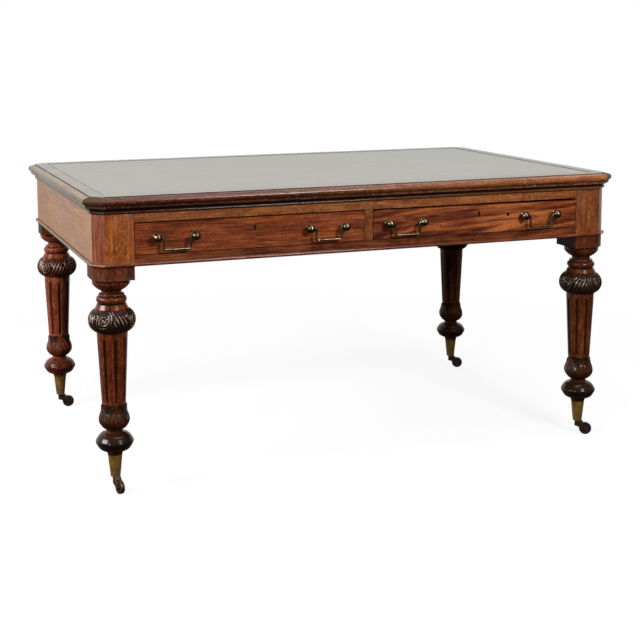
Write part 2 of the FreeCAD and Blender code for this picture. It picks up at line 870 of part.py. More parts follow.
def bail(centre):
    """Square-cornered bail, hanging, with its ends turned out into the ball posts."""
    shoulder = post_spacing / 2 - math.sqrt(knob_radius ** 2 - rod_radius ** 2) - pivot_gap
    leg_line = shoulder - bend_radius
    low = -bail_drop
    spine = Outline(-shoulder, 0)
    spine.arc(-leg_line, -bend_radius, quarter_round_share)
    spine.line(-leg_line, low + bend_radius)
    spine.arc(bend_radius - leg_line, low, -quarter_round_share)
    spine.line(leg_line - bend_radius, low)
    spine.arc(leg_line, low + bend_radius, -quarter_round_share)
    spine.line(leg_line, -bend_radius)
    spine.arc(shoulder, 0, quarter_round_share)
    ring = Part.Wire([Part.Circle(spine.start, EAST, rod_radius).toShape()])
    rod = Part.Wire(spine.edges).makePipeShell([ring], True, False)
    pivot_length = post_spacing / 2 - pivot_inset - shoulder
    pivots = []
    for way in (-EAST, EAST):
        pivots.append(Part.makeCylinder(pivot_radius, pivot_length, way * shoulder, way))
    return moved(rod.fuse(pivots).removeSplitter(), centre, knob_y, knob_z)


def drawer(handles, lock):
    """Every piece of a drawer by its name, with its handles and its lock shifted along the face."""
    return {
        "drawer_face": [drawer_face(handles, lock)],
        "drawer_box": drawer_box(),
        "drawer_bottom": [drawer_panel()],
        "handle_posts": handle_posts(handles),
        "bail_a": [bail(handles - handle_offset)],
        "bail_b": [bail(handles + handle_offset)],
        "lock": lock_pieces(lock),
        "lock_bolt": [lock_bolt(lock)],
    }


# Every node of the table: its name and its solids


def whole_desk():
    nodes = {
        "top_panel": [leather_field(top_underside, desk_height - leather_thickness)],
        "leather_inset": [leather_field(desk_height - leather_thickness, desk_height)],
        "top_border": top_border(),
        "top_edge": mitred_ring(top_edge(), quirk_offset, edge_overhang, top_underside, desk_height),
        "cornice_moulding": mitred_ring(cornice_section(), 0, cornice_reach, frieze_bottom, top_underside),
        "bead_moulding": mitred_ring(bead_section(), 0, bead_reach, frieze_bottom, top_underside),
        "centre_stiles": [mirrored(stile(), 1, sign) for sign in (-1, 1)],
        "left_end_panel": [mirrored(end_panel(), -1, 1)],
        "right_end_panel": [end_panel()],
        "centre_partition": [partition()],
        "drawer_runners": drawer_bearers(),
        "castor_cups": [],
    }
    for side, sign in (("front", -1), ("back", 1)):
        bearer = rail(bottom_rail_depth, frieze_bottom, opening_bottom, bottom_rail_tenon)
        locks = [end * drawer_centre + lock_shifts[side + way] for way, end in (("_left", -1), ("_right", 1))]
        nodes[side + "_top_rail"] = [mirrored(top_rail(locks), 1, sign)]
        nodes[side + "_bottom_rail"] = [mirrored(bearer, 1, sign)]
    corner_leg = leg()
    for corner, (sign_x, sign_y) in corners.items():
        nodes[corner + "_leg"] = [mirrored(corner_leg, sign_x, sign_y)]
        foot = (sign_x * leg_x, sign_y * leg_y, 0)
        angle = castor_angles[corner]
        nodes["castor_cups"].append(moved(castor_cup(), *foot))
        fork = [castor_fork(), axle_pin()]
        nodes[corner + "_castor_fork"] = [moved(turned_round(piece, angle), *foot) for piece in fork]
        nodes[corner + "_castor_wheel"] = [moved(turned_round(castor_wheel(), angle), *foot)]
        half_turn = 180 if sign_y > 0 else 0
        for name, pieces in drawer(-sign_y * handle_shifts[corner], -sign_y * lock_shifts[corner]).items():
            placed = [moved(turned_round(piece, half_turn), sign_x * drawer_centre, 0, 0) for piece in pieces]
            nodes[corner + "_" + name] = placed
    return nodes


for node, pieces in whole_desk().items():
    solids = [solid for piece in pieces for solid in piece.Solids]
    shape = solids[0] if len(solids) == 1 else Part.Compound(solids)
    shape.exportStep("parts/" + node + ".step")
    volume = sum(solid.Volume for solid in solids)
    valid = all(solid.isValid() for solid in solids)
    print(node, len(solids), round(volume), "valid" if valid else "NOT VALID")
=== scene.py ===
import json
import math

import bmesh
import bpy
import numpy as np
from mathutils import Matrix, Vector, noise

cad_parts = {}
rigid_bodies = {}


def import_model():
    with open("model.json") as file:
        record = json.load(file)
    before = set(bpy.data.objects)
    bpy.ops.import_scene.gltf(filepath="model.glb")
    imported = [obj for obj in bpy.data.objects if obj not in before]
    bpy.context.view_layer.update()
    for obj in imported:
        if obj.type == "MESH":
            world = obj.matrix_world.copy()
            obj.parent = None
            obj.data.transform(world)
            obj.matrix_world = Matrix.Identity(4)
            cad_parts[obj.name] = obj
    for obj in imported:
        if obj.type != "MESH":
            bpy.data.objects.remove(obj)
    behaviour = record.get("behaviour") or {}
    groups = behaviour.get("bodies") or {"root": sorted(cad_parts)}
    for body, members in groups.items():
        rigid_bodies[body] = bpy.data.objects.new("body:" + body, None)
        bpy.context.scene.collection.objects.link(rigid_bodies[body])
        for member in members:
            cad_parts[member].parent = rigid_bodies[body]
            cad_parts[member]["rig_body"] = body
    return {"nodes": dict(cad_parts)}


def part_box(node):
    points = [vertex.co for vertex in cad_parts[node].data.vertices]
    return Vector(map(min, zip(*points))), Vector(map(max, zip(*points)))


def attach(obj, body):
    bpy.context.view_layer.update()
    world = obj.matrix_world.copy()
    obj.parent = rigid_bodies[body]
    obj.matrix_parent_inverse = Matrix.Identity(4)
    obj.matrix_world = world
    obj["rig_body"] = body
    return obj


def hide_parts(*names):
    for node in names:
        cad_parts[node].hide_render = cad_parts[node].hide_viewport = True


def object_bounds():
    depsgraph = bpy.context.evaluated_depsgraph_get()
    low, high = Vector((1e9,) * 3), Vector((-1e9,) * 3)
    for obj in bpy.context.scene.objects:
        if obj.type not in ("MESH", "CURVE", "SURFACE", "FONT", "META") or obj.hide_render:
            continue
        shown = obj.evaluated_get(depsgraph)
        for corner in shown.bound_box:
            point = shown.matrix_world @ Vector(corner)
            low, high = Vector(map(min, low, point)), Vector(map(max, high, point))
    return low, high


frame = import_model()
cad_low, cad_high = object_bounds()

# Looks of a partners' writing table. Metres, +X along the length, front towards -Y, floor at Z 0.

CORNERS = {"front_left": (-1, -1), "front_right": (1, -1), "back_left": (-1, 1), "back_right": (1, 1)}

# Plan and levels, from the frame
frieze_half_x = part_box("right_end_panel")[1].x
frieze_half_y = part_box("back_top_rail")[1].y
frieze_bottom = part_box("front_bottom_rail")[0].z
top_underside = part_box("top_border")[0].z
top_level = cad_high.z
cup_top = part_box("castor_cups")[1].z

# Posts, and the eased arrises of the boards
post_size = 0.100
post_cant = 0.027
block_drop = 0.034
block_bottom = frieze_bottom - block_drop
board_ease = 0.0009
face_ease = 0.0022
border_ease = 0.0013
right_drawer_drop = 0.0034

# Easing: edges over a length, and over an angle in degrees, are rounded
shortest_eased_edge = 0.03
board_edge_angle = 60
block_edge_angle = 20
easing = {"segments": 2, "profile": 0.6, "affect": "EDGES", "clamp_overlap": True}

# Shares of a direction along an axis that make it square or canted
square_share = 0.9
cant_share = 0.5

# Thumb edge of the top: offsets stand off the frieze face, drops hang from the top
quirk_offset = 0.004
quirk_drop = 0.0018
nose_offset = 0.0215
nose_drop = 0.0078
return_offset = 0.016
nose_bow = 0.254
thumb_bow = 0.07

# Cornice under the top and bead under the frieze
cornice_reach = 0.016
cornice_fillet = 0.006
cornice_height = 0.021
cornice_bead = 0.006
cornice_root = 0.003
cove_bow = 0.2
bead_height = 0.0095
bead_reach = 0.007
half_round = 0.5

# Wear with painted glints and grain of the mouldings, and where along the table mouldings and drawers turn
# lighter towards the right
moulding_step = 0.006
dent_depth = 0.0011
dent_spacing = 0.022
dent_share = 0.30
crest_width = 0.0008
crest_wear_and_glint = 0.40
# Spans along X over which mouldings and drawers turn lighter towards the right
moulding_lighter_span = (-0.55, 0.75)
drawer_lighter_span = (0.22, 0.58)
side_grain_gap = 2.3
side_grain_drift = 0.7
section_grain_step = 0.004

# Turned leg, from the block down to the castor cup
abacus_radius = 0.048
ball_height = 0.060
ball_radius = 0.060
ball_girth = 0.078
column_top_radius = 0.039
column_bottom_radius = 0.030
bud_height = 0.065
stem_height = 0.008
disc_height = 0.048
foot_height = 0.0115
spigot_depth = 0.004
leg_facets = 240
bud_top = cup_top + foot_height + disc_height + stem_height + bud_height

# Carving of the leg
flute_count = 8
flute_top_radius = 0.0048
flute_bottom_radius = 0.0036
flute_top_margin = 0.015
flute_bottom_margin = 0.005
leaf_count = 4
leaf_join = 0.025
leaf_taper_share = 0.62
leaf_depth = 0.0042
leaf_dish = 0.0019
leaf_vein = 0.0007
leaf_seam = 0.0012
scroll_count = 4
ground_depth = 0.0014
ridge_sharpness = 0.8
scroll_rim = 0.0018
scroll_radius = 0.0265
scroll_pitch = 0.0074
scroll_depth = 0.0024
scroll_eye = 0.0036
scroll_rise = 0.047
scroll_lean = 0.25
scroll_squash = 0.88
strand_count = 36
strand_climb = 0.0233
strand_depth = 0.0022
# Deeper carving and the flutes are painted darker: painted shade in the hollows
recess_shade_depth = 0.0028
flute_grime_and_shade = 0.80
crest_depth = 0.0009
ball_wear_and_glint = 0.62
bud_wear_and_glint = 0.36
bud_grime_and_shade = 0.66
flute_end_reach = 2.2
flute_shade_depth = 0.0026
unshaded_depth = 0.0004

# Carving: shares of the height that stay plain at the ball's ends, and where crests are worn and painted
# with glints
ball_plain_bottom = 0.05
ball_plain_top = 0.10
wear_and_glint_bottom_shares = (0.20, 0.50)
wear_and_glint_top_shares = (0.10, 0.22)

# Lotus leaves: shares of the height or of the half width
leaf_arch_start = 0.70
leaf_arch_length = 0.30
leaf_foot_shares = (0.0, 0.15)
leaf_rim_shares = (0.72, 0.90)
leaf_edge_shares = (0.98, 1.05)
side_vein_share = 0.42
side_vein_width = 0.05
middle_vein_width = 0.06
vein_foot_shares = (0.10, 0.30)
seam_shares = (0.93, 1.0)
seam_foot_shares = (0.05, 0.25)
seam_head_length = 0.1
back_leaf_width = 1.1
back_leaf_taper = 0.9
back_vein_shares = (0.25, 0.45)

# Turn of each ball's carving from the leg's outer corner, in degrees, and grime with painted shade of each
# leg: less on the back left leg, which is painted lighter
scroll_turns = {"front_left": 12, "front_right": 32, "back_left": 6, "back_right": 10}
leg_grime_and_shade_shares = {"front_left": 1.0, "front_right": 0.95, "back_left": 0.66, "back_right": 0.9}

# Leather: gap and dip at its edge, which is painted dark as shade, tooled line and slight waves
leather_gap = 0.0010
leather_sink = 0.0004
leather_turn = 0.0030
leather_cell = 0.012
tooled_line_inset = 0.019
tooled_line_width = 0.0016
tooled_line_depth = 0.00025
leather_waviness = 0.00020
leather_wave_size = 0.11
leather_dip_share = 0.7
edge_shade_dip = 0.4
tooled_line_darkness = 0.8

# Old plugged hole in the right front drawer, slightly proud of its face
plug_x = 0.412
plug_z = 0.661
plug_radius = 0.0052
plug_proud = 0.0003

# Camera fitted to the photograph: yaw, pitch and roll in degrees, focal length and centre in pixels
image_side = 640
camera_place = (-1.3302, -3.5534, 1.1553)
camera_angles = (19.721, -7.338, -0.340)
focal_pixels = 1297.4
centre_x_pixel = 290
centre_y_pixel = 200
sensor_width = 36.0

# Lamps: place, target, width and height, and power
lamps = {
    "overhead": ((0.2, -0.5, 3.2), (0.0, 0.0, 0.6), (2.2, 1.6), 45),
    "front_right": ((0.85, -3.3, 2.3), (0.1, -0.4, 0.6), (0.9, 0.45), 100),
    "front_left": ((-3.7, -3.5, 2.1), (-0.3, -0.4, 0.5), (0.8, 0.4), 50),
    "left": ((-2.8, -0.5, 1.6), (-0.6, 0.1, 0.4), (1.5, 0.7), 85)}

# Light of the room before the table and from below, and the directions where it grows
room_light = 0.11
wall_range = (0.0, 0.7)
low_light = 0.10
horizon_range = (-0.40, -0.05)

# Studio floor: half its width, its colour, and how its own glow grows with distance
floor_half = 40.0
floor_colour = (252, 251, 250)
glow_reach = (0.8, 2.4)
glow_range = (0.85, 1.0)

# Colours shared by the finishes, as they look on a screen, from 0 to 255
# Worn colour paints rubbed crests and painted glints; grime colour paints grime and painted shade
worn_and_glint_colour = (176, 154, 132)
grime_and_shade_colour = (22, 17, 11)
# Tooled colour also paints shade where the hide dips at its edge
tooled_and_edge_shade_colour = (24, 20, 14)
hide_colours = [(84, 80, 64), (98, 93, 75), (112, 106, 87)]
lining_colours = [(98, 68, 40), (140, 102, 64), (164, 126, 84)]

# Features of the finishes per metre, along and across the grain where there are two
streak_scales = (5.0, 55.0)
fibre_scales = (16.0, 260.0)
cloud_scales = (3.0, 8.0)
pore_scales = (40.0, 440.0)
fleck_scales = (150.0, 420.0)
burr_scale = 120.0
knock_scale = 72.0
knock_patch_scale = 16.0
rub_and_glint_scale = 150.0
dimple_scale = 60.0
pebble_scale = 620.0
hide_cloud_scale = 4.5
hide_streak_scales = (2.0, 22.0)
tarnish_scales = (60.0, 60.0)
spot_scales = (260.0, 260.0)
scratch_scales = (150.0, 1400.0)


# Material nodes


def shade(red, green, blue, share=1.0):
    """A share of a colour as it looks on a screen, from 0 to 255, turned into linear light."""
    linear = []
    for part in (red, green, blue):
        level = share * part / 255
        linear.append(level / 12.92 if level <= 0.04045 else ((level + 0.055) / 1.055) ** 2.4)
    return (*linear, 1.0)


class Tree:
    """A node tree whose nodes are added one by one."""

    def __init__(self, tree):
        self.tree = tree

    def feed(self, socket, value):
        if isinstance(value, bpy.types.NodeSocket):
            self.tree.links.new(value, socket)
        else:
            socket.default_value = value

    def node(self, kind, inputs, output=0, **settings):
        made = self.tree.nodes.new("ShaderNode" + kind)
        for key, value in settings.items():
            setattr(made, key, value)
        for key, value in inputs.items():
            self.feed(made.inputs[key], value)
        return made.outputs[output] if made.outputs else made

    def between(self, value, low, high, to_low=0.0, to_high=1.0, kind="LINEAR"):
        ends = {"From Min": low, "From Max": high, "To Min": to_low, "To Max": to_high}
        return self.node("MapRange", {"Value": value, **ends}, interpolation_type=kind)


class Finish(Tree):
    """A material with a principled shader."""

    def __init__(self, name):
        self.material = bpy.data.materials.new(name)
        self.material.use_nodes = True
        super().__init__(self.material.node_tree)
        self.shader = self.tree.nodes["Principled BSDF"]

    def noise(self, place, scale, detail=4.0, roughness=0.55, distortion=0.0):
        return self.node("TexNoise", {"Vector": place, "Scale": scale, "Detail": detail,
                                      "Roughness": roughness, "Distortion": distortion})

    def streaks(self, place, along, across, seed, detail=4.0, distortion=0.0):
        """Noise drawn out along the grain: features per metre along and across it."""
        stretched = self.node("Mapping", {"Vector": place, "Location": (seed, seed, seed),
                                          "Scale": (along, across, across)})
        return self.noise(stretched, 1.0, detail, roughness=0.6, distortion=distortion)

    def mixed(self, share, first, second):
        return self.node("MixRGB", {"Fac": share, "Color1": first, "Color2": second})

    def ramp(self, value, colours):
        """Colours spread evenly over values from 0 to 1."""
        made = self.tree.nodes.new("ShaderNodeValToRGB")
        elements = made.color_ramp.elements
        while len(elements) < len(colours):
            elements.new(0.5)
        for i, (element, colour) in enumerate(zip(elements, colours)):
            element.position = i / (len(colours) - 1)
            element.color = shade(*colour)
        self.feed(made.inputs["Fac"], value)
        return made.outputs["Color"]

    def attribute(self, name, output="Fac"):
        return self.node("Attribute", {}, output=output, attribute_name=name)

    def bump(self, height, distance, strength):
        normal = self.node("Bump", {"Height": height, "Distance": distance, "Strength": strength})
        self.feed(self.shader.inputs["Normal"], normal)

    def set(self, **values):
        for key, value in values.items():
            self.feed(self.shader.inputs[key.replace("_", " ")], value)


def grain_place(look, axis):
    """Place in the timber: stored on a new piece, or along an axis on a node of the frame."""
    if axis is None:
        return look.attribute("grain", "Vector")
    place = look.node("TexCoord", {}, output="Object")
    if axis == "Y":
        place = look.node("Mapping", {"Vector": place, "Rotation": (0.0, 0.0, math.pi / 2)})
    return place


def grain_tone(look, place, seed, fibre, cloud, figure, bands, tilt, burr):
    """Dark and light of the timber: streaks, fibres, leaning figure, clouds and burr."""
    streak = look.streaks(place, *streak_scales, seed, detail=5.0, distortion=0.7)
    leaning = place
    if tilt:
        leaning = look.node("Mapping", {"Vector": place, "Rotation": (0.0, math.radians(tilt), 0.0)})
    mottle = look.streaks(leaning, *bands, seed, distortion=1.8)
    tone = look.mixed(0.55, streak, fibre)
    tone = look.mixed(figure, tone, mottle)
    tone = look.mixed(0.16, tone, cloud)
    if burr:
        curls = look.noise(place, burr_scale, detail=5.0, roughness=0.65, distortion=1.2)
        tone = look.mixed(burr, tone, curls)
    return tone


def marked(look, place, seed, colour, darkest, flecks, knocks):
    """The timber's colour with its pores, flecks and knocks."""
    pore = look.streaks(place, *pore_scales, seed, detail=2.0)
    colour = look.mixed(look.between(pore, 0.57, 0.68, 0.0, 0.6), colour, shade(*darkest))
    if flecks:
        fleck = look.streaks(place, *fleck_scales, seed, detail=2.0)
        amount = look.between(fleck, 0.58, 0.68, 0.0, flecks)
        colour = look.mixed(amount, colour, shade(*darkest, share=0.6))
    if knocks:
        cell = look.node("TexVoronoi", {"Vector": place, "Scale": knock_scale, "Randomness": 1.0})
        spot = look.between(cell, 0.11, 0.21, 1.0, 0.0)
        patch = look.noise(place, knock_patch_scale, detail=2.0)
        patch = look.between(patch, 0.40, 0.54, 0.0, knocks)
        amount = look.node("Math", {0: spot, 1: patch}, operation="MULTIPLY")
        colour = look.mixed(amount, colour, shade(*darkest, share=0.5))
    return colour


def aged(look, place, colour):
    """The timber's colour under grime and painted shade, and with crests painted lighter: rubbed wood and
    painted glints.
    """
    grime_and_shade = look.between(look.attribute("grime_and_shade"), 0.0, 1.0, 0.0, 0.96)
    colour = look.mixed(grime_and_shade, colour, shade(*grime_and_shade_colour))
    patch = look.noise(place, rub_and_glint_scale, detail=2.0)
    rub_and_glint = look.node("Math", {0: patch, 1: look.attribute("wear_and_glint")}, operation="ADD")
    return look.mixed(look.between(rub_and_glint, 1.0, 1.2, 0.0, 0.8), colour, shade(*worn_and_glint_colour))


def wood(name, colours, seed, figure=0.30, bands=(9.0, 24.0), tilt=0.0, burr=0.0, flecks=0.0, spread=0.105,
         roughness=0.34, polish=0.25, specular=0.30, relief=0.25, knocks=0.0, rightward_colours=None, axis=None):
    """Polished wood. Colours run from dark to light; figure, burr, flecks and knocks are shares."""
    look = Finish(name)
    place = grain_place(look, axis)
    fibre = look.streaks(place, *fibre_scales, seed)
    cloud = look.streaks(place, *cloud_scales, seed)
    tone = grain_tone(look, place, seed, fibre, cloud, figure, bands, tilt, burr)
    tone = look.between(tone, 0.5 - spread, 0.5 + spread)
    colour = look.ramp(tone, colours)
    # Mixed to lighter colours towards the right of the table
    if rightward_colours:
        colour = look.mixed(look.attribute("lighter_rightwards"), colour, look.ramp(tone, rightward_colours))
    colour = marked(look, place, seed, colour, colours[0], flecks, knocks)
    colour = aged(look, place, colour)
    rough = look.between(cloud, 0.3, 0.7, roughness - 0.06, roughness + 0.10)
    look.set(Base_Color=colour, Roughness=rough, Specular_IOR_Level=specular, Coat_Weight=polish,
             Coat_Roughness=0.16)
    dimples = look.noise(place, dimple_scale, detail=3.0)
    look.bump(look.mixed(0.5, fibre, dimples), distance=0.0006, strength=relief)
    return look.material


def leather_finish():
    """Worn hide: fine grain, cloudy wear, faint streaks and dark tooled lines, with painted shade where it
    dips at its edge.
    """
    look = Finish("leather_hide")
    place = look.node("TexCoord", {}, output="Object")
    pebble = look.node("TexVoronoi", {"Vector": place, "Scale": pebble_scale, "Randomness": 1.0})
    cloud = look.noise(place, hide_cloud_scale, detail=5.0, roughness=0.6)
    streak = look.streaks(place, *hide_streak_scales, 3.0)
    tone = look.between(look.mixed(0.35, cloud, streak), 0.34, 0.66)
    tooling_and_edge_shade = look.between(look.attribute("tooling_and_edge_shade"), 0.0, 1.0, 0.0, 0.85)
    colour = look.mixed(tooling_and_edge_shade, look.ramp(tone, hide_colours), shade(*tooled_and_edge_shade_colour))
    rough = look.between(tone, 0.0, 1.0, 0.31, 0.45)
    look.set(Base_Color=colour, Roughness=rough, Coat_Weight=0.55, Coat_Roughness=0.32)
    look.bump(look.mixed(0.4, pebble, cloud), distance=0.0004, strength=0.22)
    return look.material


def metal(name, bright, dull, darkening, roughness, seed, bare=1.0, spots=0.7, relief=0.16):
    """Old cast metal: tarnish, dark spots and fine scratches. What isn't bare has a dull skin."""
    look = Finish(name)
    place = look.node("TexCoord", {}, output="Object")
    cloud = look.streaks(place, *tarnish_scales, seed, detail=5.0)
    spot = look.streaks(place, *spot_scales, seed, detail=3.0)
    scratch = look.streaks(place, *scratch_scales, seed, detail=2.0)
    colour = look.ramp(look.between(cloud, 0.38, 0.62), [dull, bright])
    colour = look.mixed(look.between(spot, 0.52, 0.68, 0.0, spots), colour, shade(*darkening))
    rough = look.between(cloud, 0.3, 0.7, roughness + 0.12, roughness - 0.04)
    look.set(Base_Color=colour, Metallic=bare, Roughness=rough)
    look.bump(look.mixed(0.5, spot, scratch), distance=0.0003, strength=relief)
    return look.material


def plain_floor():
    """White floor with a faint shadow near the table, which runs into the backdrop."""
    look = Finish("studio_floor")
    place = look.node("TexCoord", {}, output="Object")
    reach = look.node("VectorMath", {0: place}, output="Value", operation="LENGTH")
    glow = look.between(reach, *glow_reach, *glow_range, "SMOOTHSTEP")
    colour = look.mixed(glow, shade(*floor_colour), shade(0, 0, 0))
    look.set(Base_Color=colour, Roughness=0.9, Specular_IOR_Level=0.0, Emission_Color=shade(255, 255, 255),
             Emission_Strength=glow)
    return look.material


# Finishes

rail_wood = wood(
    "mahogany_rail", [(76, 34, 13), (129, 71, 31), (168, 104, 52)], 1.0,
    burr=0.3, flecks=0.8, spread=0.092, knocks=0.85)
low_rail_wood = wood(
    "mahogany_low_rail", [(46, 16, 7), (90, 41, 17), (128, 68, 32)], 2.0,
    figure=0.36, flecks=0.8, spread=0.08, specular=0.2, knocks=0.85)
post_woods = {
    -1: wood("mahogany_post_left", [(77, 31, 10), (143, 73, 25), (186, 113, 47)], 3.0,
             burr=0.35, flecks=0.7, knocks=0.85),
    1: wood("mahogany_post_right", [(64, 27, 10), (120, 62, 27), (164, 96, 46)], 14.0,
            figure=0.4, burr=0.35, flecks=0.6, knocks=0.9)}
cant_wood = wood(
    "mahogany_cant", [(74, 33, 21), (118, 63, 42), (148, 91, 63)], 15.0,
    flecks=0.3, polish=0.05, specular=0.15)
drawer_look = {"polish": 0.2, "specular": 0.22, "knocks": 0.7,
               "rightward_colours": [(66, 23, 10), (134, 65, 32), (180, 104, 56)]}
drawer_woods = {
    -1: wood("mahogany_left_drawer", [(52, 16, 6), (116, 52, 22), (168, 90, 42)], 4.0,
             figure=0.16, flecks=0.8, spread=0.12, **drawer_look),
    1: wood("mahogany_right_drawer", [(46, 14, 5), (106, 47, 20), (158, 84, 39)], 17.0,
            figure=0.56, bands=(2.6, 32.0), tilt=5.0, flecks=0.7, spread=0.075, **drawer_look)}
# End panels: paler, greyer colours than the other boards, partly painted glare of the white wall
end_wood_and_glare = wood(
    "mahogany_end_and_painted_glare", [(104, 73, 48), (132, 94, 65), (155, 117, 85)], 5.0,
    figure=0.2, spread=0.14, roughness=0.48, polish=0.05, specular=0.22)
block_wood = wood(
    "mahogany_block", [(32, 11, 5), (82, 35, 15), (126, 64, 30)], 16.0,
    burr=0.3, flecks=0.8, roughness=0.5, polish=0.0, specular=0.1)
# End faces of the leg blocks below the bead: darker colours, painted shade on the side faces
block_end_shade_wood = wood(
    "mahogany_block_end_painted_shade", [(24, 9, 4), (58, 25, 12), (90, 46, 24)], 18.0,
    flecks=0.5, roughness=0.5, polish=0.0, specular=0.1)
moulding_wood = wood(
    "mahogany_dark", [(28, 9, 4), (68, 28, 13), (128, 62, 30)], 6.0,
    burr=0.42, flecks=0.8, roughness=0.24, polish=0.20, specular=0.20,
    rightward_colours=[(66, 30, 14), (136, 78, 43), (186, 120, 72)])
cant_moulding_wood = wood(
    "mahogany_dull_edge", [(30, 17, 9), (60, 38, 21), (96, 66, 40)], 19.0,
    burr=0.3, flecks=0.6, roughness=0.4, polish=0.0, specular=0.08)
# Mouldings on the sides facing the left end: pale olive colours, painted reflection of the white wall at a
# grazing angle
sheen_painted_moulding_wood = wood(
    "mahogany_edge_painted_sheen", [(80, 64, 46), (110, 92, 69), (136, 116, 90)], 6.0,
    burr=0.25, roughness=0.24, polish=0.0, specular=0.08)
edge_finishes = {"plain": moulding_wood, "left": sheen_painted_moulding_wood, "cant": cant_moulding_wood}
bead_wood = wood(
    "mahogany_bead", [(52, 20, 9), (100, 46, 22), (146, 80, 42)], 12.0,
    roughness=0.28, specular=0.2)
sheen_painted_bead_wood = wood(
    "mahogany_bead_painted_sheen", [(88, 68, 48), (118, 95, 68), (145, 120, 90)], 12.0,
    roughness=0.28, polish=0.0, specular=0.08)
bead_finishes = {"plain": bead_wood, "left": sheen_painted_bead_wood, "cant": bead_wood}
# Colours of each leg: partly painted light, lighter on the back left and darker on the front right
leg_colours_with_painted_light = {
    "front_left": [(33, 12, 6), (94, 41, 20), (146, 78, 40)],
    "front_right": [(31, 12, 6), (86, 39, 19), (130, 72, 37)],
    "back_left": [(54, 22, 13), (128, 60, 35), (170, 96, 62)],
    "back_right": [(33, 12, 6), (90, 39, 18), (134, 72, 36)]}
bud_roughness = {"front_left": 0.36, "front_right": 0.20, "back_left": 0.32, "back_right": 0.32}
bud_polish = {"front_left": 0.0, "front_right": 0.15, "back_left": 0.0, "back_right": 0.0}
leg_look = {"burr": 0.3, "flecks": 0.8, "relief": 0.12}
leg_woods = {}
bud_woods = {}
for corner, colours in leg_colours_with_painted_light.items():
    leg_woods[corner] = wood(
        "mahogany_turned_" + corner, colours, 7.0,
        roughness=0.19, polish=0.18, specular=0.14, **leg_look)
    bud_woods[corner] = wood(
        "mahogany_bud_" + corner, colours, 7.0,
        roughness=bud_roughness[corner], polish=bud_polish[corner], specular=0.10, **leg_look)
# Border of the top: olive-grey colours, painted reflection of the white backdrop at a grazing angle
border_wood_painted_sheen = wood(
    "mahogany_border_painted_sheen", [(65, 55, 37), (90, 77, 53), (111, 96, 68)], 8.0,
    polish=0.34, specular=0.36)
worn_wood = wood("mahogany_worn_edge", [(74, 34, 16), (128, 70, 36), (170, 108, 62)], 9.0, roughness=0.40)
# Near-black finish of the eased arrises round drawers, rails and the border: painted shadow of the gaps; the
# old plug is made of it too
gap_shade_and_plug_wood = wood(
    "mahogany_gap_shade_and_plug", [(10, 4, 3), (18, 8, 5), (30, 14, 9)], 13.0,
    roughness=0.6, polish=0.0, specular=0.05)
lining_x = wood("lining_along_x", lining_colours, 10.0, roughness=0.60, polish=0.0, axis="X")
lining_y = wood("lining_along_y", lining_colours, 11.0, roughness=0.60, polish=0.0, axis="Y")
leather = leather_finish()
handle_brass = metal(
    "handle_brass", (138, 122, 94), (74, 63, 46), (26, 21, 15), 0.28, 1.0, spots=0.30, relief=0.05)
cup_brass = metal("castor_brass", (154, 115, 54), (112, 79, 36), (74, 44, 20), 0.40, 2.0, bare=0.45)
castor_metal = metal("castor_metal", (84, 65, 46), (46, 34, 24), (20, 15, 11), 0.42, 3.0, bare=0.7)
lock_brass = metal("lock_brass", (112, 88, 50), (70, 54, 31), (32, 24, 15), 0.40, 4.0)


# Mesh helpers


def add_object(name, data):
    """A new object in the scene."""
    made = bpy.data.objects.new(name, data)
    bpy.context.scene.collection.objects.link(made)
    return made


def new_piece(name, mesh, body, materials, nodes):
    """Adds a mesh as a piece that rides on a body and stands for CAD nodes."""
    piece = add_object(name, mesh)
    for material in materials:
        mesh.materials.append(material)
    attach(piece, body)
    if nodes:
        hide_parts(*nodes)


def smooth(mesh, angle):
    """Smooth shading, with edges over an angle in degrees kept sharp."""
    mesh.shade_smooth()
    mesh.set_sharp_from_angle(angle=math.radians(angle))


def coordinates(mesh):
    """Places of a mesh's vertices."""
    flat = np.zeros(len(mesh.vertices) * 3)
    mesh.vertices.foreach_get("co", flat)
    return flat.reshape(-1, 3)


def set_grain(mesh, places):
    """Stores the place in the timber of every vertex."""
    layer = mesh.attributes.new("grain", "FLOAT_VECTOR", "POINT")
    layer.data.foreach_set("vector", np.asarray(places, np.float32).ravel())


def set_values(mesh, name, values):
    """Stores a number for every vertex."""
    layer = mesh.attributes.new(name, "FLOAT", "POINT")
    layer.data.foreach_set("value", np.asarray(values, np.float32).ravel())


def rise(value, low, high):
    """0 under low, 1 over high, smooth between."""
    share = np.clip((value - low) / (high - low), 0.0, 1.0)
    return share * share * (3 - 2 * share)


def grid_faces(rows, columns, closed, first=0):
    """Faces of a grid of points, row by row from the first. Its rows may be closed rings."""
    faces = []
    for row in range(rows - 1):
        for column in range(columns if closed else columns - 1):
            a = first + row * columns + column
            b = first + row * columns + (column + 1) % columns
            faces.append((a, b, b + columns, a + columns))
    return faces


def grain_along(points, axis):
    """Grain coordinates of points: first along the grain, then across it."""
    order = {"X": (0, 1, 2), "Y": (1, 0, 2), "Z": (2, 0, 1)}[axis]
    return points[:, order]


def arc_points(start, end, bow, count):
    """Points after the start of an arc that stands off its chord to the left by a share of it."""
    start, end = np.array(start), np.array(end)
    chord = end - start
    left = np.array((-chord[1], chord[0]))
    if not bow:
        return [tuple(start + chord * i / count) for i in range(1, count + 1)]
    half_angle = 2 * math.atan(2 * bow)
    centre = (start + end) / 2 + left * (bow - 0.5 / math.sin(half_angle))
    arm = start - centre
    points = []
    for i in range(1, count + 1):
        cos = math.cos(-2 * half_angle * i / count)
        sin = math.sin(-2 * half_angle * i / count)
        points.append((centre[0] + arm[0] * cos - arm[1] * sin, centre[1] + arm[0] * sin + arm[1] * cos))
    return points


# Boards with eased arrises


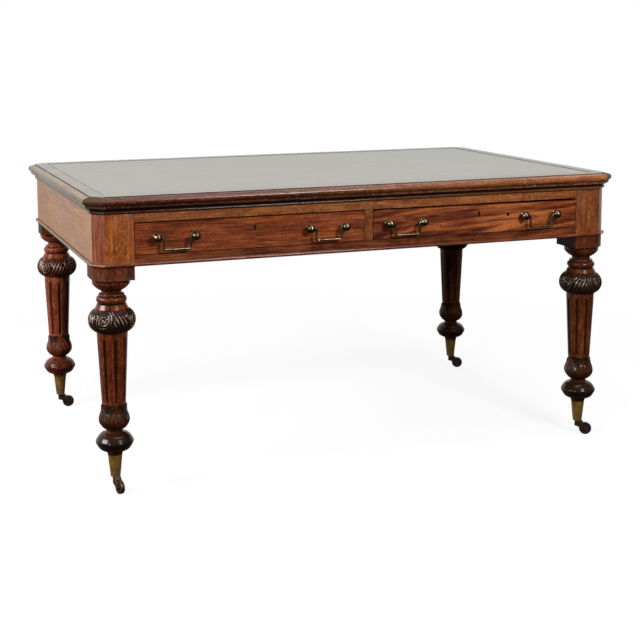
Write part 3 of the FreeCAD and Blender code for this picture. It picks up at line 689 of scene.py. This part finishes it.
def eased_board(node, material, edge_material, axis, ease, drop=0.0):
    """A board of the frame, with its long sharp edges rounded and in a finish of their own: near-black
    painted shade of the gaps on most boards.
    """
    form = bmesh.new()
    form.from_mesh(frame["nodes"][node].data)
    bmesh.ops.remove_doubles(form, verts=form.verts, dist=1e-6)
    bmesh.ops.dissolve_limit(form, angle_limit=math.radians(0.5), verts=form.verts, edges=form.edges)
    edges = [e for e in form.edges if e.is_convex and e.calc_length() > shortest_eased_edge
             and e.calc_face_angle(0.0) > math.radians(board_edge_angle)]
    bmesh.ops.bevel(form, geom=edges, offset=ease, material=1, **easing)
    mesh = bpy.data.meshes.new(node + "_board")
    form.to_mesh(mesh)
    form.free()
    points = coordinates(mesh)
    low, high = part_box(node)
    along = (points[:, 0] - low.x) / (high.x - low.x)
    points[:, 2] -= drop * along * rise(points[:, 2], (low.z + high.z) / 2, high.z)
    mesh.vertices.foreach_set("co", points.ravel())
    set_grain(mesh, grain_along(points, axis))
    set_values(mesh, "lighter_rightwards", rise(points[:, 0], *drawer_lighter_span))
    body = frame["nodes"][node]["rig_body"]
    new_piece(node + "_board", mesh, body, [material, edge_material], [node])


# Mouldings


def octagon(offset):
    """Plan corners of the frieze, with its canted corners, stood off evenly."""
    half_x = frieze_half_x + offset
    half_y = frieze_half_y + offset
    cant = post_cant + offset * (2 - math.sqrt(2))
    corners = []
    for sign_x, sign_y in ((1, -1), (1, 1), (-1, 1), (-1, -1)):
        on_side = np.array((sign_x * (half_x - cant), sign_y * half_y))
        on_end = np.array((sign_x * half_x, sign_y * (half_y - cant)))
        corners += [on_side, on_end] if sign_x * sign_y < 0 else [on_end, on_side]
    return corners


def dent(place):
    """How deep a moulding is dented at a place: mostly not at all."""
    knock = noise.noise(Vector(place) / dent_spacing)
    return dent_depth * max(0.0, knock - dent_share)


def side_kind(way):
    """Kind of a side of the frieze, by the way it runs."""
    if way[1] < -square_share:
        return "left"
    return "cant" if min(abs(way)) > cant_share else "plain"


def side_rows(section, rings, side, steps, length):
    """Points of one side of a moulding and their grain, dented between the mitres."""
    after = (side + 1) % len(rings[0])
    points, grain = [], []
    for step in range(steps + 1):
        share = step / steps
        for i, (_, level) in enumerate(section):
            spot = rings[i][side] * (1 - share) + rings[i][after] * share
            place = np.array((spot[0], spot[1], level))
            if 0 < step < steps and 0 < i < len(section) - 1:
                place[:2] *= 1 - dent(place) / frieze_half_y
            points.append(tuple(place))
            along = share * length + side * side_grain_gap
            grain.append((along, i * section_grain_step + side, side * side_grain_drift))
    return points, grain


def moulding(node, section, grime_and_shade, left_grime_and_shade, finishes):
    """A moulding round the eight sides of the frieze, mitred, from its outer section."""
    points, faces, grain, darkening, wear_and_glint, finish = [], [], [], [], [], []
    count = len(section)
    crest = max(offset for offset, _ in section)
    # Crests of the long sides are painted lighter: worn nicks and painted glints
    worn_and_glint = [crest_wear_and_glint if offset > crest - crest_width else 0.0 for offset, _ in section]
    rings = [octagon(offset) for offset, _ in section]
    corners = octagon(crest)
    for side, start in enumerate(corners):
        along = corners[(side + 1) % len(corners)] - start
        length = np.linalg.norm(along)
        kind = side_kind(along / length)
        is_long = abs(along[0]) / length > square_share
        steps = max(2, round(length / moulding_step))
        first = len(points)
        side_points, side_grain = side_rows(section, rings, side, steps, length)
        points += side_points
        grain += side_grain
        darkening += (left_grime_and_shade if kind == "left" else grime_and_shade) * (steps + 1)
        wear_and_glint += (worn_and_glint if is_long else [0.0] * count) * (steps + 1)
        faces += grid_faces(steps + 1, count, True, first)
        faces.append(tuple(first + i for i in reversed(range(count))))
        faces.append(tuple(first + steps * count + i for i in range(count)))
        finish += [list(finishes).index(kind)] * (len(faces) - len(finish))
    mesh = bpy.data.meshes.new(node + "_run")
    mesh.from_pydata(points, [], faces)
    mesh.polygons.foreach_set("material_index", finish)
    form = bmesh.new()
    form.from_mesh(mesh)
    bmesh.ops.recalc_face_normals(form, faces=form.faces)
    form.to_mesh(mesh)
    form.free()
    smooth(mesh, angle=34)
    set_grain(mesh, grain)
    set_values(mesh, "grime_and_shade", darkening)
    set_values(mesh, "wear_and_glint", wear_and_glint)
    set_values(mesh, "lighter_rightwards", rise(np.array(points)[:, 0], *moulding_lighter_span))
    new_piece(node + "_run", mesh, "desk", list(finishes.values()), [node])


def thumb_edge():
    """Moulded edge of the top: a quirk, a slope to a round nose and a set-back underside."""
    quirk = (quirk_offset, top_level - quirk_drop)
    nose = (nose_offset, top_level - nose_drop)
    under = (return_offset, top_underside)
    section = [(quirk_offset, top_underside), under]
    section += arc_points(under, nose, -nose_bow, 8)
    section += arc_points(nose, quirk, -thumb_bow, 6)
    # Grime and painted shade: darkest on the underside of the thumb and at the quirk
    grime_and_shade = [1.0, 0.8, 0.5, 0.3] + [0.0] * 11 + [1.0]
    left_grime_and_shade = [1.0, 0.8] + [0.5] * 7 + [0.3] + [0.0] * 5 + [0.6]
    moulding("top_edge", section, grime_and_shade, left_grime_and_shade, edge_finishes)


def cornice():
    """Fillet, cove and bead under the top."""
    bottom = top_underside - cornice_height
    bead_top = (cornice_root, bottom + cornice_bead)
    fillet = (cornice_reach, top_underside - cornice_fillet)
    section = [(0.0, top_underside), (cornice_reach, top_underside), fillet]
    section += arc_points(fillet, bead_top, -cove_bow, 7)
    section += arc_points(bead_top, (cornice_root, bottom), half_round, 7)
    section.append((0.0, bottom))
    # Grime and painted shade: darkest against the top and the frieze and deep in the cove, lighter on the
    # left end
    grime_and_shade = [1.0, 0.7, 0.35, 0.5, 0.7, 0.75, 0.75, 0.75, 0.85, 1.0] + [0.46] * 6 + [0.7, 1.0]
    left_grime_and_shade = [0.26 + 0.36 * darkening for darkening in grime_and_shade]
    moulding("cornice_moulding", section, grime_and_shade, left_grime_and_shade, edge_finishes)


def frieze_bead():
    """Half-round bead along the bottom of the frieze."""
    root = bead_reach - bead_height / 2
    top = (root, frieze_bottom + bead_height)
    section = [(0.0, frieze_bottom + bead_height), top]
    section += arc_points(top, (root, frieze_bottom), half_round, 9)
    section.append((0.0, frieze_bottom))
    # Grime and painted shade: darkest where the bead meets the frieze and on its underside
    grime_and_shade = [1.0, 0.8, 0.2] + [0.0] * 6 + [0.2, 0.5, 1.0]
    left_grime_and_shade = [max(0.25, darkening) for darkening in grime_and_shade]
    moulding("bead_moulding", section, grime_and_shade, left_grime_and_shade, bead_finishes)


# Carved legs


def nearest(angle, count):
    """Angle from the nearest of some even parts of a circle."""
    step = 2 * math.pi / count
    return (angle + step / 2) % step - step / 2


def add_rows(rows, radius, height, count=1, bow=0.0, grime_and_shade=0.0, zone="plain"):
    """Adds rows of a turned shape, going down: radius, height, carving zone, and grime with painted shade.
    """
    for r, z in arc_points(rows[-1][:2], (radius, height), bow, count):
        rows.append((r, z, zone, grime_and_shade))


# Capital under the block, from the top down: radius, drop, rows, bow, and grime with painted shade of each
# step
capital_steps = {
    "abacus": (abacus_radius, 0.003, 2, 0.0, 0.3),
    "upper groove's side": (0.046, 0.0, 1, 0.0, 1.0),
    "upper groove": (0.046, 0.0015, 1, 0.0, 1.0),
    "band's top": (0.0475, 0.0, 1, 0.0, 0.4),
    "band": (0.0475, 0.007, 3, 0.0, 0.25),
    "bowl": (0.0255, 0.0185, 9, 0.08, 0.2),
    "neck": (0.0255, 0.008, 3, 0.0, 0.75),
    "small bead's top": (0.030, 0.0, 1, 0.0, 0.4),
    "small bead": (0.030, 0.006, 6, 0.45, 0.2),
    "large bead's top": (0.033, 0.0, 1, 0.0, 0.9),
    "large bead": (0.033, 0.017, 10, 0.33, 0.15),
    "groove's side": (0.034, 0.0, 1, 0.0, 1.0),
    "groove": (0.034, 0.003, 1, 0.0, 1.0),
    "collar's top": (0.0365, 0.0),
    "collar": (0.042, 0.011, 5),
    "ball's top": (column_top_radius, 0.0, 1, 0.0, 0.8)}


def capital_rows(rows):
    """The capital and the ball. Gives the level where the column starts."""
    level = block_bottom
    add_rows(rows, abacus_radius, level + spigot_depth)
    add_rows(rows, abacus_radius, level)
    for radius, drop, *rest in capital_steps.values():
        level -= drop
        add_rows(rows, radius, level, *rest)
    level -= ball_height
    ball_bow = (ball_radius - column_top_radius) / ball_height
    add_rows(rows, column_top_radius, level, count=80, bow=ball_bow, grime_and_shade=0.70, zone="ball")
    return level


def column_rows(rows, top, bottom):
    """Tapered column, with close rows where the flutes end."""
    run = (column_top_radius - column_bottom_radius) / (top - bottom)
    upper = top - flute_top_margin - flute_top_radius * flute_end_reach
    lower = bottom + flute_bottom_margin + flute_bottom_radius * flute_end_reach
    for level, count in ((upper, 28), (lower, 24), (bottom, 16)):
        add_rows(rows, column_bottom_radius + run * (level - bottom), level, count, zone="column")


def foot_rows(rows):
    """Bud, stem, disc and foot, into the castor cup: radius, level, rows, bow, grime with painted shade, and
    zone.
    """
    bud_bottom = bud_top - bud_height
    disc_top = bud_bottom - stem_height
    heel = disc_top - disc_height
    steps = {
        "bud's tip": (0.033, bud_top, 2, 0.0, bud_grime_and_shade, "bud"),
        "bud's shoulder": (0.0352, bud_bottom + 0.044, 20, -0.03, bud_grime_and_shade, "bud"),
        "bud's belly": (0.041, bud_bottom + 0.0245, 20, 0.05, bud_grime_and_shade, "bud"),
        "bud's foot": (0.022, bud_bottom, 18, 0.15, bud_grime_and_shade, "bud"),
        "stem": (0.0205, bud_bottom - stem_height / 2, 2, 0.0, 0.5),
        "disc's top": (0.024, disc_top, 2, 0.0, 0.6),
        "disc's slope": (0.045, heel + 0.031, 10, 0.12, 0.90),
        "disc's nose": (0.044, heel + 0.0155, 10, 0.22, 1.0),
        "disc's heel": (0.024, heel, 8, 0.17, 0.84),
        "foot's top": (0.022, heel, 1, 0.0, 0.6),
        "foot": (0.0185, cup_top, 3, 0.0, 0.2),
        "spigot's shoulder": (0.0164, cup_top),
        "spigot": (0.0164, cup_top - spigot_depth),
        "spigot's end": (0.0, cup_top - spigot_depth)}
    for step in steps.values():
        add_rows(rows, *step)


def leg_rows():
    """The turned length of a leg, from the block into the castor cup."""
    rows = [(0.0, block_bottom + spigot_depth, "plain", 1.0)]
    ball_bottom = capital_rows(rows)
    column_rows(rows, ball_bottom, bud_top)
    foot_rows(rows)
    return rows


def scroll(reach, turn):
    """Height of a spiral scroll at a distance and angle from its centre."""
    ridge = (0.5 + 0.5 * np.cos(2 * math.pi * reach / scroll_pitch - turn)) ** ridge_sharpness
    body = -scroll_depth * (1 - ridge)
    return np.where(reach < scroll_eye, -scroll_depth * (reach / scroll_eye) ** 4, body)


def strands(angle, along):
    """Height of the leaf strands that wind up the ball."""
    phase = strand_count * angle + 2 * math.pi * along / strand_climb
    return -strand_depth * (1 - (0.5 + 0.5 * np.cos(phase)) ** ridge_sharpness)


def ball_carving(angle, share, turn):
    """Depth of the carving on the ball: leaning scrolls with winding strands between."""
    along = share * ball_girth - scroll_rise
    across = nearest(angle - turn + math.pi / scroll_count, scroll_count) * ball_radius - scroll_lean * along
    reach = np.hypot(across, along * scroll_squash)
    curl = scroll(reach, np.arctan2(along, across))
    outside = rise(reach, scroll_radius - scroll_rim, scroll_radius)
    height = curl * (1 - outside) + strands(angle - turn, along) * outside
    height = height - ground_depth * np.exp(-((reach - scroll_radius) / scroll_rim) ** 2)
    edge = rise(share, 0.0, ball_plain_bottom) * rise(1 - share, 0.0, ball_plain_top)
    return -height * edge


def flute_carving(angle, radius, height, low, high):
    """Depth of the round-ended flutes on the column."""
    share = np.clip((height - low) / (high - low), 0.0, 1.0)
    size = flute_bottom_radius + (flute_top_radius - flute_bottom_radius) * share
    over = np.maximum(np.maximum(low - height, height - high), 0.0)
    across = nearest(angle, flute_count) * radius
    return np.sqrt(np.clip(size ** 2 - over ** 2 - across ** 2, 0.0, None))


def bud_carving(angle, share):
    """Depth of the lotus leaves on the bud: arched, with raised rims, over a second row."""
    join = leaf_join / bud_height
    offset = np.abs(nearest(angle, leaf_count)) / (math.pi / leaf_count)
    climb = np.clip((share - join) / (1 - join), 0.0, 1.0)
    arch = np.sqrt(1 - np.clip((climb - leaf_arch_start) / leaf_arch_length, 0.0, 0.999) ** 2)
    side = offset / ((1 - leaf_taper_share * climb) * arch)
    front = leaf_dish * (1 - rise(side, *leaf_rim_shares)) * rise(share, *leaf_foot_shares)
    side_vein = np.exp(-((side - side_vein_share) / side_vein_width) ** 2)
    vein = side_vein + np.exp(-(side / middle_vein_width) ** 2)
    front = front - leaf_vein * vein * rise(share, *vein_foot_shares)
    seam = rise(offset, *seam_shares) * (1 - rise(share, join - seam_head_length, join))
    front = front + leaf_seam * (seam * rise(share, *seam_foot_shares))
    second = (1 - offset) / np.clip(back_leaf_width - back_leaf_taper * climb, 0.05, 1.0)
    behind = leaf_depth - leaf_vein * (1 - rise(second, *back_vein_shares))
    return front + (behind - front) * rise(side, *leaf_edge_shares)


def carved_depths(radius, level, zone, angle, turn):
    """Depth of all the carving on a leg."""
    depth = np.zeros((len(zone), leg_facets))
    ball = zone == "ball"
    depth[ball] = ball_carving(angle, np.linspace(1, 0, ball.sum())[:, None], turn)
    column = zone == "column"
    low = level[column].min() + flute_bottom_margin + flute_bottom_radius
    high = level[column].max() - flute_top_margin - flute_top_radius
    depth[column] = flute_carving(angle, radius[column], level[column], low, high)
    bud = zone == "bud"
    depth[bud] = bud_carving(angle, (level[bud] - level[bud].min()) / bud_height)
    return depth


def worn_and_glinting_crests(level, zone, depth):
    """How far the crests of the ball and the bud are painted lighter: polish rubbed off, and painted glints.
    """
    wear_and_glint = np.zeros(depth.shape)
    for name, amount in (("ball", ball_wear_and_glint), ("bud", bud_wear_and_glint)):
        rows = zone == name
        share = (level[rows] - level[rows].min()) / np.ptp(level[rows])
        crest = 1 - rise(depth[rows], crest_depth / 3, crest_depth)
        wear_and_glint[rows] = amount * crest * rise(share, *wear_and_glint_bottom_shares) * rise(1 - share, *wear_and_glint_top_shares)
    return wear_and_glint


def leg_grime_and_shade(zone, darkening, depth):
    """Grime and painted shade of a leg: what each row has by itself, and painted shade where it is carved
    deep.
    """
    grime_and_shade = np.clip(darkening + rise(depth, unshaded_depth, recess_shade_depth), 0.0, 1.0)
    column = zone == "column"
    grime_and_shade[column] = flute_grime_and_shade * rise(depth[column], unshaded_depth, flute_shade_depth)
    bud = zone == "bud"
    grime_and_shade[bud] = darkening[bud] + (1 - darkening[bud]) * rise(depth[bud], leaf_dish, leaf_depth)
    return grime_and_shade


def carved_turning(corner, sign_x, sign_y):
    """Mesh of a leg's turned and carved length, with its grime and painted shade, and its wear and painted
    glints.
    """
    rows = leg_rows()
    radius, level, darkening = (np.array([row[i] for row in rows])[:, None] for i in (0, 1, 3))
    zone = np.array([row[2] for row in rows])
    angle = np.linspace(0, 2 * math.pi, leg_facets, endpoint=False)[None, :]
    depth = carved_depths(radius, level, zone, angle, math.radians(scroll_turns[corner]))
    ring = radius - depth
    x = sign_x * (frieze_half_x - post_size / 2) + sign_x * ring * np.cos(angle)
    y = sign_y * (frieze_half_y - post_size / 2) + sign_y * ring * np.sin(angle)
    points = np.stack((x, y, np.broadcast_to(level, ring.shape)), axis=-1)
    mesh = bpy.data.meshes.new(corner + "_carved_leg")
    mesh.from_pydata(points.reshape(-1, 3).tolist(), [], grid_faces(len(rows), leg_facets, True))
    set_values(mesh, "grime_and_shade", leg_grime_and_shade(zone, darkening * leg_grime_and_shade_shares[corner], depth))
    set_values(mesh, "wear_and_glint", worn_and_glinting_crests(level, zone, depth))
    return mesh


def carved_leg(corner, sign_x, sign_y):
    """One leg: canted block and carved turning, as one piece of timber."""
    finishes = {"turned": leg_woods[corner], "block": block_wood, "block_end": block_end_shade_wood,
                "post": post_woods[sign_x], "cant": cant_wood, "panel": end_wood_and_glare, "bud": bud_woods[corner]}
    mesh = carved_turning(corner, sign_x, sign_y)
    form = bmesh.new()
    form.from_mesh(mesh)
    bmesh.ops.remove_doubles(form, verts=form.verts, dist=1e-7)
    turned = set(form.faces)
    canted_block(form, sign_x, sign_y)
    bmesh.ops.recalc_face_normals(form, faces=form.faces)
    for face in form.faces:
        face.smooth = face in turned
        finish = turned_finish(face) if face.smooth else block_finish(face)
        face.material_index = list(finishes).index(finish)
    form.to_mesh(mesh)
    form.free()
    mesh.set_sharp_from_angle(angle=math.radians(48))
    set_grain(mesh, grain_along(coordinates(mesh), "Z"))
    materials = list(finishes.values())
    new_piece(corner + "_carved_leg", mesh, "desk", materials, [corner + "_leg"])


def turned_finish(face):
    """Finish of a turned face: the lotus bud has one of its own."""
    return "bud" if bud_top - bud_height < face.calc_center_median().z < bud_top else "turned"


def block_finish(face):
    """Finish of a block's face, below the bead and above it."""
    faces_end = abs(face.normal.x) > square_share
    if face.calc_center_median().z < frieze_bottom + bead_height / 2:
        # End faces below the bead take the darker finish, painted shade
        return "block_end" if faces_end else "block"
    if faces_end:
        return "panel"
    return "post" if abs(face.normal.y) > square_share else "cant"


def canted_block(form, sign_x, sign_y):
    """Adds the block of a leg, with its outer corner canted and its edges eased."""
    outer_x, outer_y = frieze_half_x, frieze_half_y
    inner_x, inner_y = outer_x - post_size, outer_y - post_size
    plan = [(inner_x, inner_y), (outer_x, inner_y), (outer_x, outer_y - post_cant),
            (outer_x - post_cant, outer_y), (inner_x, outer_y)]
    levels = (block_bottom, frieze_bottom + bead_height / 2, top_underside)
    rings = [[form.verts.new((sign_x * x, sign_y * y, z)) for x, y in plan] for z in levels]
    made = [form.faces.new(rings[0]), form.faces.new(rings[-1])]
    for low, high in zip(rings, rings[1:]):
        for i in range(len(plan)):
            j = (i + 1) % len(plan)
            made.append(form.faces.new((low[i], low[j], high[j], high[i])))
    form.normal_update()
    sharp = math.radians(block_edge_angle)
    edges = {e for face in made for e in face.edges if e.calc_face_angle(0.0) > sharp}
    bmesh.ops.bevel(form, geom=list(edges), offset=board_ease, **easing)


# Leather


def leather_stations(half):
    """Places across the hide: close at its edge and at the tooled line, even between."""
    line = half - tooled_line_inset
    fine = [half, half - leather_turn / 2, half - leather_turn, line + tooled_line_width, line,
            line - tooled_line_width]
    inner = fine[-1]
    count = round(2 * inner / leather_cell)
    middle = np.linspace(-inner, inner, count + 1)[1:-1]
    return np.array([-v for v in fine] + list(middle) + fine[::-1]), line


def leather_field():
    """The inset hide: a slightly wavy sheet that dips at its edges, with a tooled line."""
    low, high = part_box("leather_inset")
    half_x = high.x - leather_gap
    half_y = high.y - leather_gap
    xs, line_x = leather_stations(half_x)
    ys, line_y = leather_stations(half_y)
    x, y = (v.ravel() for v in np.meshgrid(xs, ys))
    edge = np.minimum(half_x - np.abs(x), half_y - np.abs(y))
    dip = 1 - np.clip(edge / leather_turn, 0.0, 1.0)
    across = np.maximum(np.abs(x) - line_x, np.abs(y) - line_y)
    tooled = np.abs(across) < tooled_line_width / 2
    waves = np.array([noise.noise(Vector((a, b, 0)) / leather_wave_size) for a, b in zip(x, y)])
    z = high.z - leather_sink - dip ** 2 * (high.z - low.z) * leather_dip_share + waves * leather_waviness
    z = z - tooled * tooled_line_depth
    mesh = bpy.data.meshes.new("leather_hide")
    mesh.from_pydata(np.stack((x, y, z), axis=-1).tolist(), [], grid_faces(len(ys), len(xs), False))
    # Dark where tooled, and painted shade where the hide dips at its edge
    set_values(mesh, "tooling_and_edge_shade", np.maximum(dip > edge_shade_dip, tooled * tooled_line_darkness))
    close_sheet(mesh, low.z)
    smooth(mesh, angle=60)
    new_piece("leather_hide", mesh, "desk", [leather], ["leather_inset"])


def close_sheet(mesh, level):
    """Gives an open sheet sides down to a level, and a flat underside."""
    form = bmesh.new()
    form.from_mesh(mesh)
    grown = bmesh.ops.extrude_edge_only(form, edges=[e for e in form.edges if e.is_boundary])["geom"]
    for part in grown:
        if isinstance(part, bmesh.types.BMVert):
            part.co.z = level
    bmesh.ops.holes_fill(form, edges=[e for e in form.edges if e.is_boundary])
    bmesh.ops.recalc_face_normals(form, faces=form.faces)
    form.to_mesh(mesh)
    form.free()


def plugged_hole():
    """An old hole in the right front drawer, filled with a dark round plug."""
    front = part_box("front_right_drawer_face")[0].y
    form = bmesh.new()
    bmesh.ops.create_cone(form, cap_ends=True, segments=24, radius1=plug_radius, radius2=0.8 * plug_radius,
                          depth=4 * plug_proud)
    place = Matrix.Translation((plug_x, front + plug_proud, plug_z))
    bmesh.ops.transform(form, verts=form.verts, matrix=place @ Matrix.Rotation(math.pi / 2, 4, "X"))
    mesh = bpy.data.meshes.new("plugged_hole")
    form.to_mesh(mesh)
    form.free()
    set_grain(mesh, grain_along(coordinates(mesh), "X"))
    new_piece("plugged_hole", mesh, "front_right_drawer", [gap_shade_and_plug_wood], [])


# Nodes that keep their shape


def dress(node, material):
    """Gives a node of the frame a finish."""
    for slot in frame["nodes"][node].material_slots:
        slot.material = material


def dress_frame():
    """Gives every node that keeps its shape its finish."""
    singles = {"top_panel": lining_x, "centre_partition": lining_y, "drawer_runners": lining_y,
               "castor_cups": cup_brass}
    of_corners = {"drawer_box": lining_y, "drawer_bottom": lining_x, "castor_fork": castor_metal,
                  "castor_wheel": castor_metal, "handle_posts": handle_brass, "bail_a": handle_brass,
                  "bail_b": handle_brass, "lock": lock_brass, "lock_bolt": lock_brass}
    for node, material in singles.items():
        dress(node, material)
    for corner in CORNERS:
        for part, material in of_corners.items():
            dress(corner + "_" + part, material)


# Studio


def studio_floor():
    """A wide floor that gives the table no bounce, so that the undersides stay dark."""
    mesh = bpy.data.meshes.new("studio_floor")
    corners = [(x * floor_half, y * floor_half, 0) for x, y in ((-1, -1), (1, -1), (1, 1), (-1, 1))]
    mesh.from_pydata(corners, [], [(0, 1, 2, 3)])
    mesh.materials.append(plain_floor())
    floor = add_object("studio_floor", mesh)
    floor.visible_glossy = False
    floor.visible_diffuse = False


def softbox(name, place, target, size, power):
    """A rectangular lamp at a place, turned to a target."""
    data = bpy.data.lights.new(name, "AREA")
    data.shape = "RECTANGLE"
    data.size, data.size_y = size
    data.energy = power
    lamp = add_object(name, data)
    lamp.location = place
    lamp.rotation_mode = "QUATERNION"
    lamp.rotation_quaternion = (Vector(target) - Vector(place)).to_track_quat("-Z", "Y")


def surroundings():
    """A white wall behind the table, a dimmer room before it, and white for the camera."""
    world = bpy.data.worlds.new("studio")
    bpy.context.scene.world = world
    world.use_nodes = True
    world.node_tree.nodes.clear()
    look = Tree(world.node_tree)
    way = look.node("TexCoord", {}, output="Generated")
    y, z = (look.node("SeparateXYZ", {0: way}, output=axis) for axis in "YZ")
    behind = look.between(y, *wall_range, room_light, 1.0, "SMOOTHSTEP")
    above = look.between(z, *horizon_range, low_light, 1.0, "SMOOTHSTEP")
    room = look.node("Math", {0: behind, 1: above}, operation="MULTIPLY")
    seen = look.node("LightPath", {}, output="Is Camera Ray")
    strength = look.node("Mix", {"Factor": seen, "A": room, "B": 1.0}, data_type="FLOAT")
    light = look.node("Background", {"Color": (1.0, 1.0, 1.0, 1.0), "Strength": strength})
    look.node("OutputWorld", {"Surface": light})


def studio_camera():
    """Camera at the photograph's viewpoint."""
    data = bpy.data.cameras.new("camera")
    data.sensor_width = sensor_width
    data.lens = focal_pixels / image_side * sensor_width
    data.shift_x = (image_side / 2 - centre_x_pixel) / image_side
    data.shift_y = (centre_y_pixel - image_side / 2) / image_side
    yaw, pitch, roll = (math.radians(a) for a in camera_angles)
    turn = Matrix.Rotation(-yaw, 4, "Z") @ Matrix.Rotation(math.pi / 2 + pitch, 4, "X")
    camera = add_object("camera", data)
    camera.matrix_world = Matrix.Translation(camera_place) @ turn @ Matrix.Rotation(roll, 4, "Z")
    bpy.context.scene.camera = camera


# The table

thumb_edge()
cornice()
frieze_bead()
for corner, signs in CORNERS.items():
    carved_leg(corner, *signs)
    face = corner + "_drawer_face"
    drop = right_drawer_drop if corner == "front_right" else 0.0
    eased_board(face, drawer_woods[signs[0]], gap_shade_and_plug_wood, "X", face_ease, drop)
for side in ("front", "back"):
    eased_board(side + "_top_rail", rail_wood, gap_shade_and_plug_wood, "X", board_ease)
    eased_board(side + "_bottom_rail", low_rail_wood, gap_shade_and_plug_wood, "X", board_ease)
for side in ("left", "right"):
    eased_board(side + "_end_panel", end_wood_and_glare, worn_wood, "Y", board_ease)
eased_board("centre_stiles", rail_wood, worn_wood, "Z", board_ease)
eased_board("top_border", border_wood_painted_sheen, gap_shade_and_plug_wood, "X", border_ease)
leather_field()
plugged_hole()
dress_frame()

# The studio

studio_floor()
for name, lamp in lamps.items():
    softbox(name, *lamp)
surroundings()
studio_camera()
bpy.context.scene.view_settings.view_transform = "Standard"
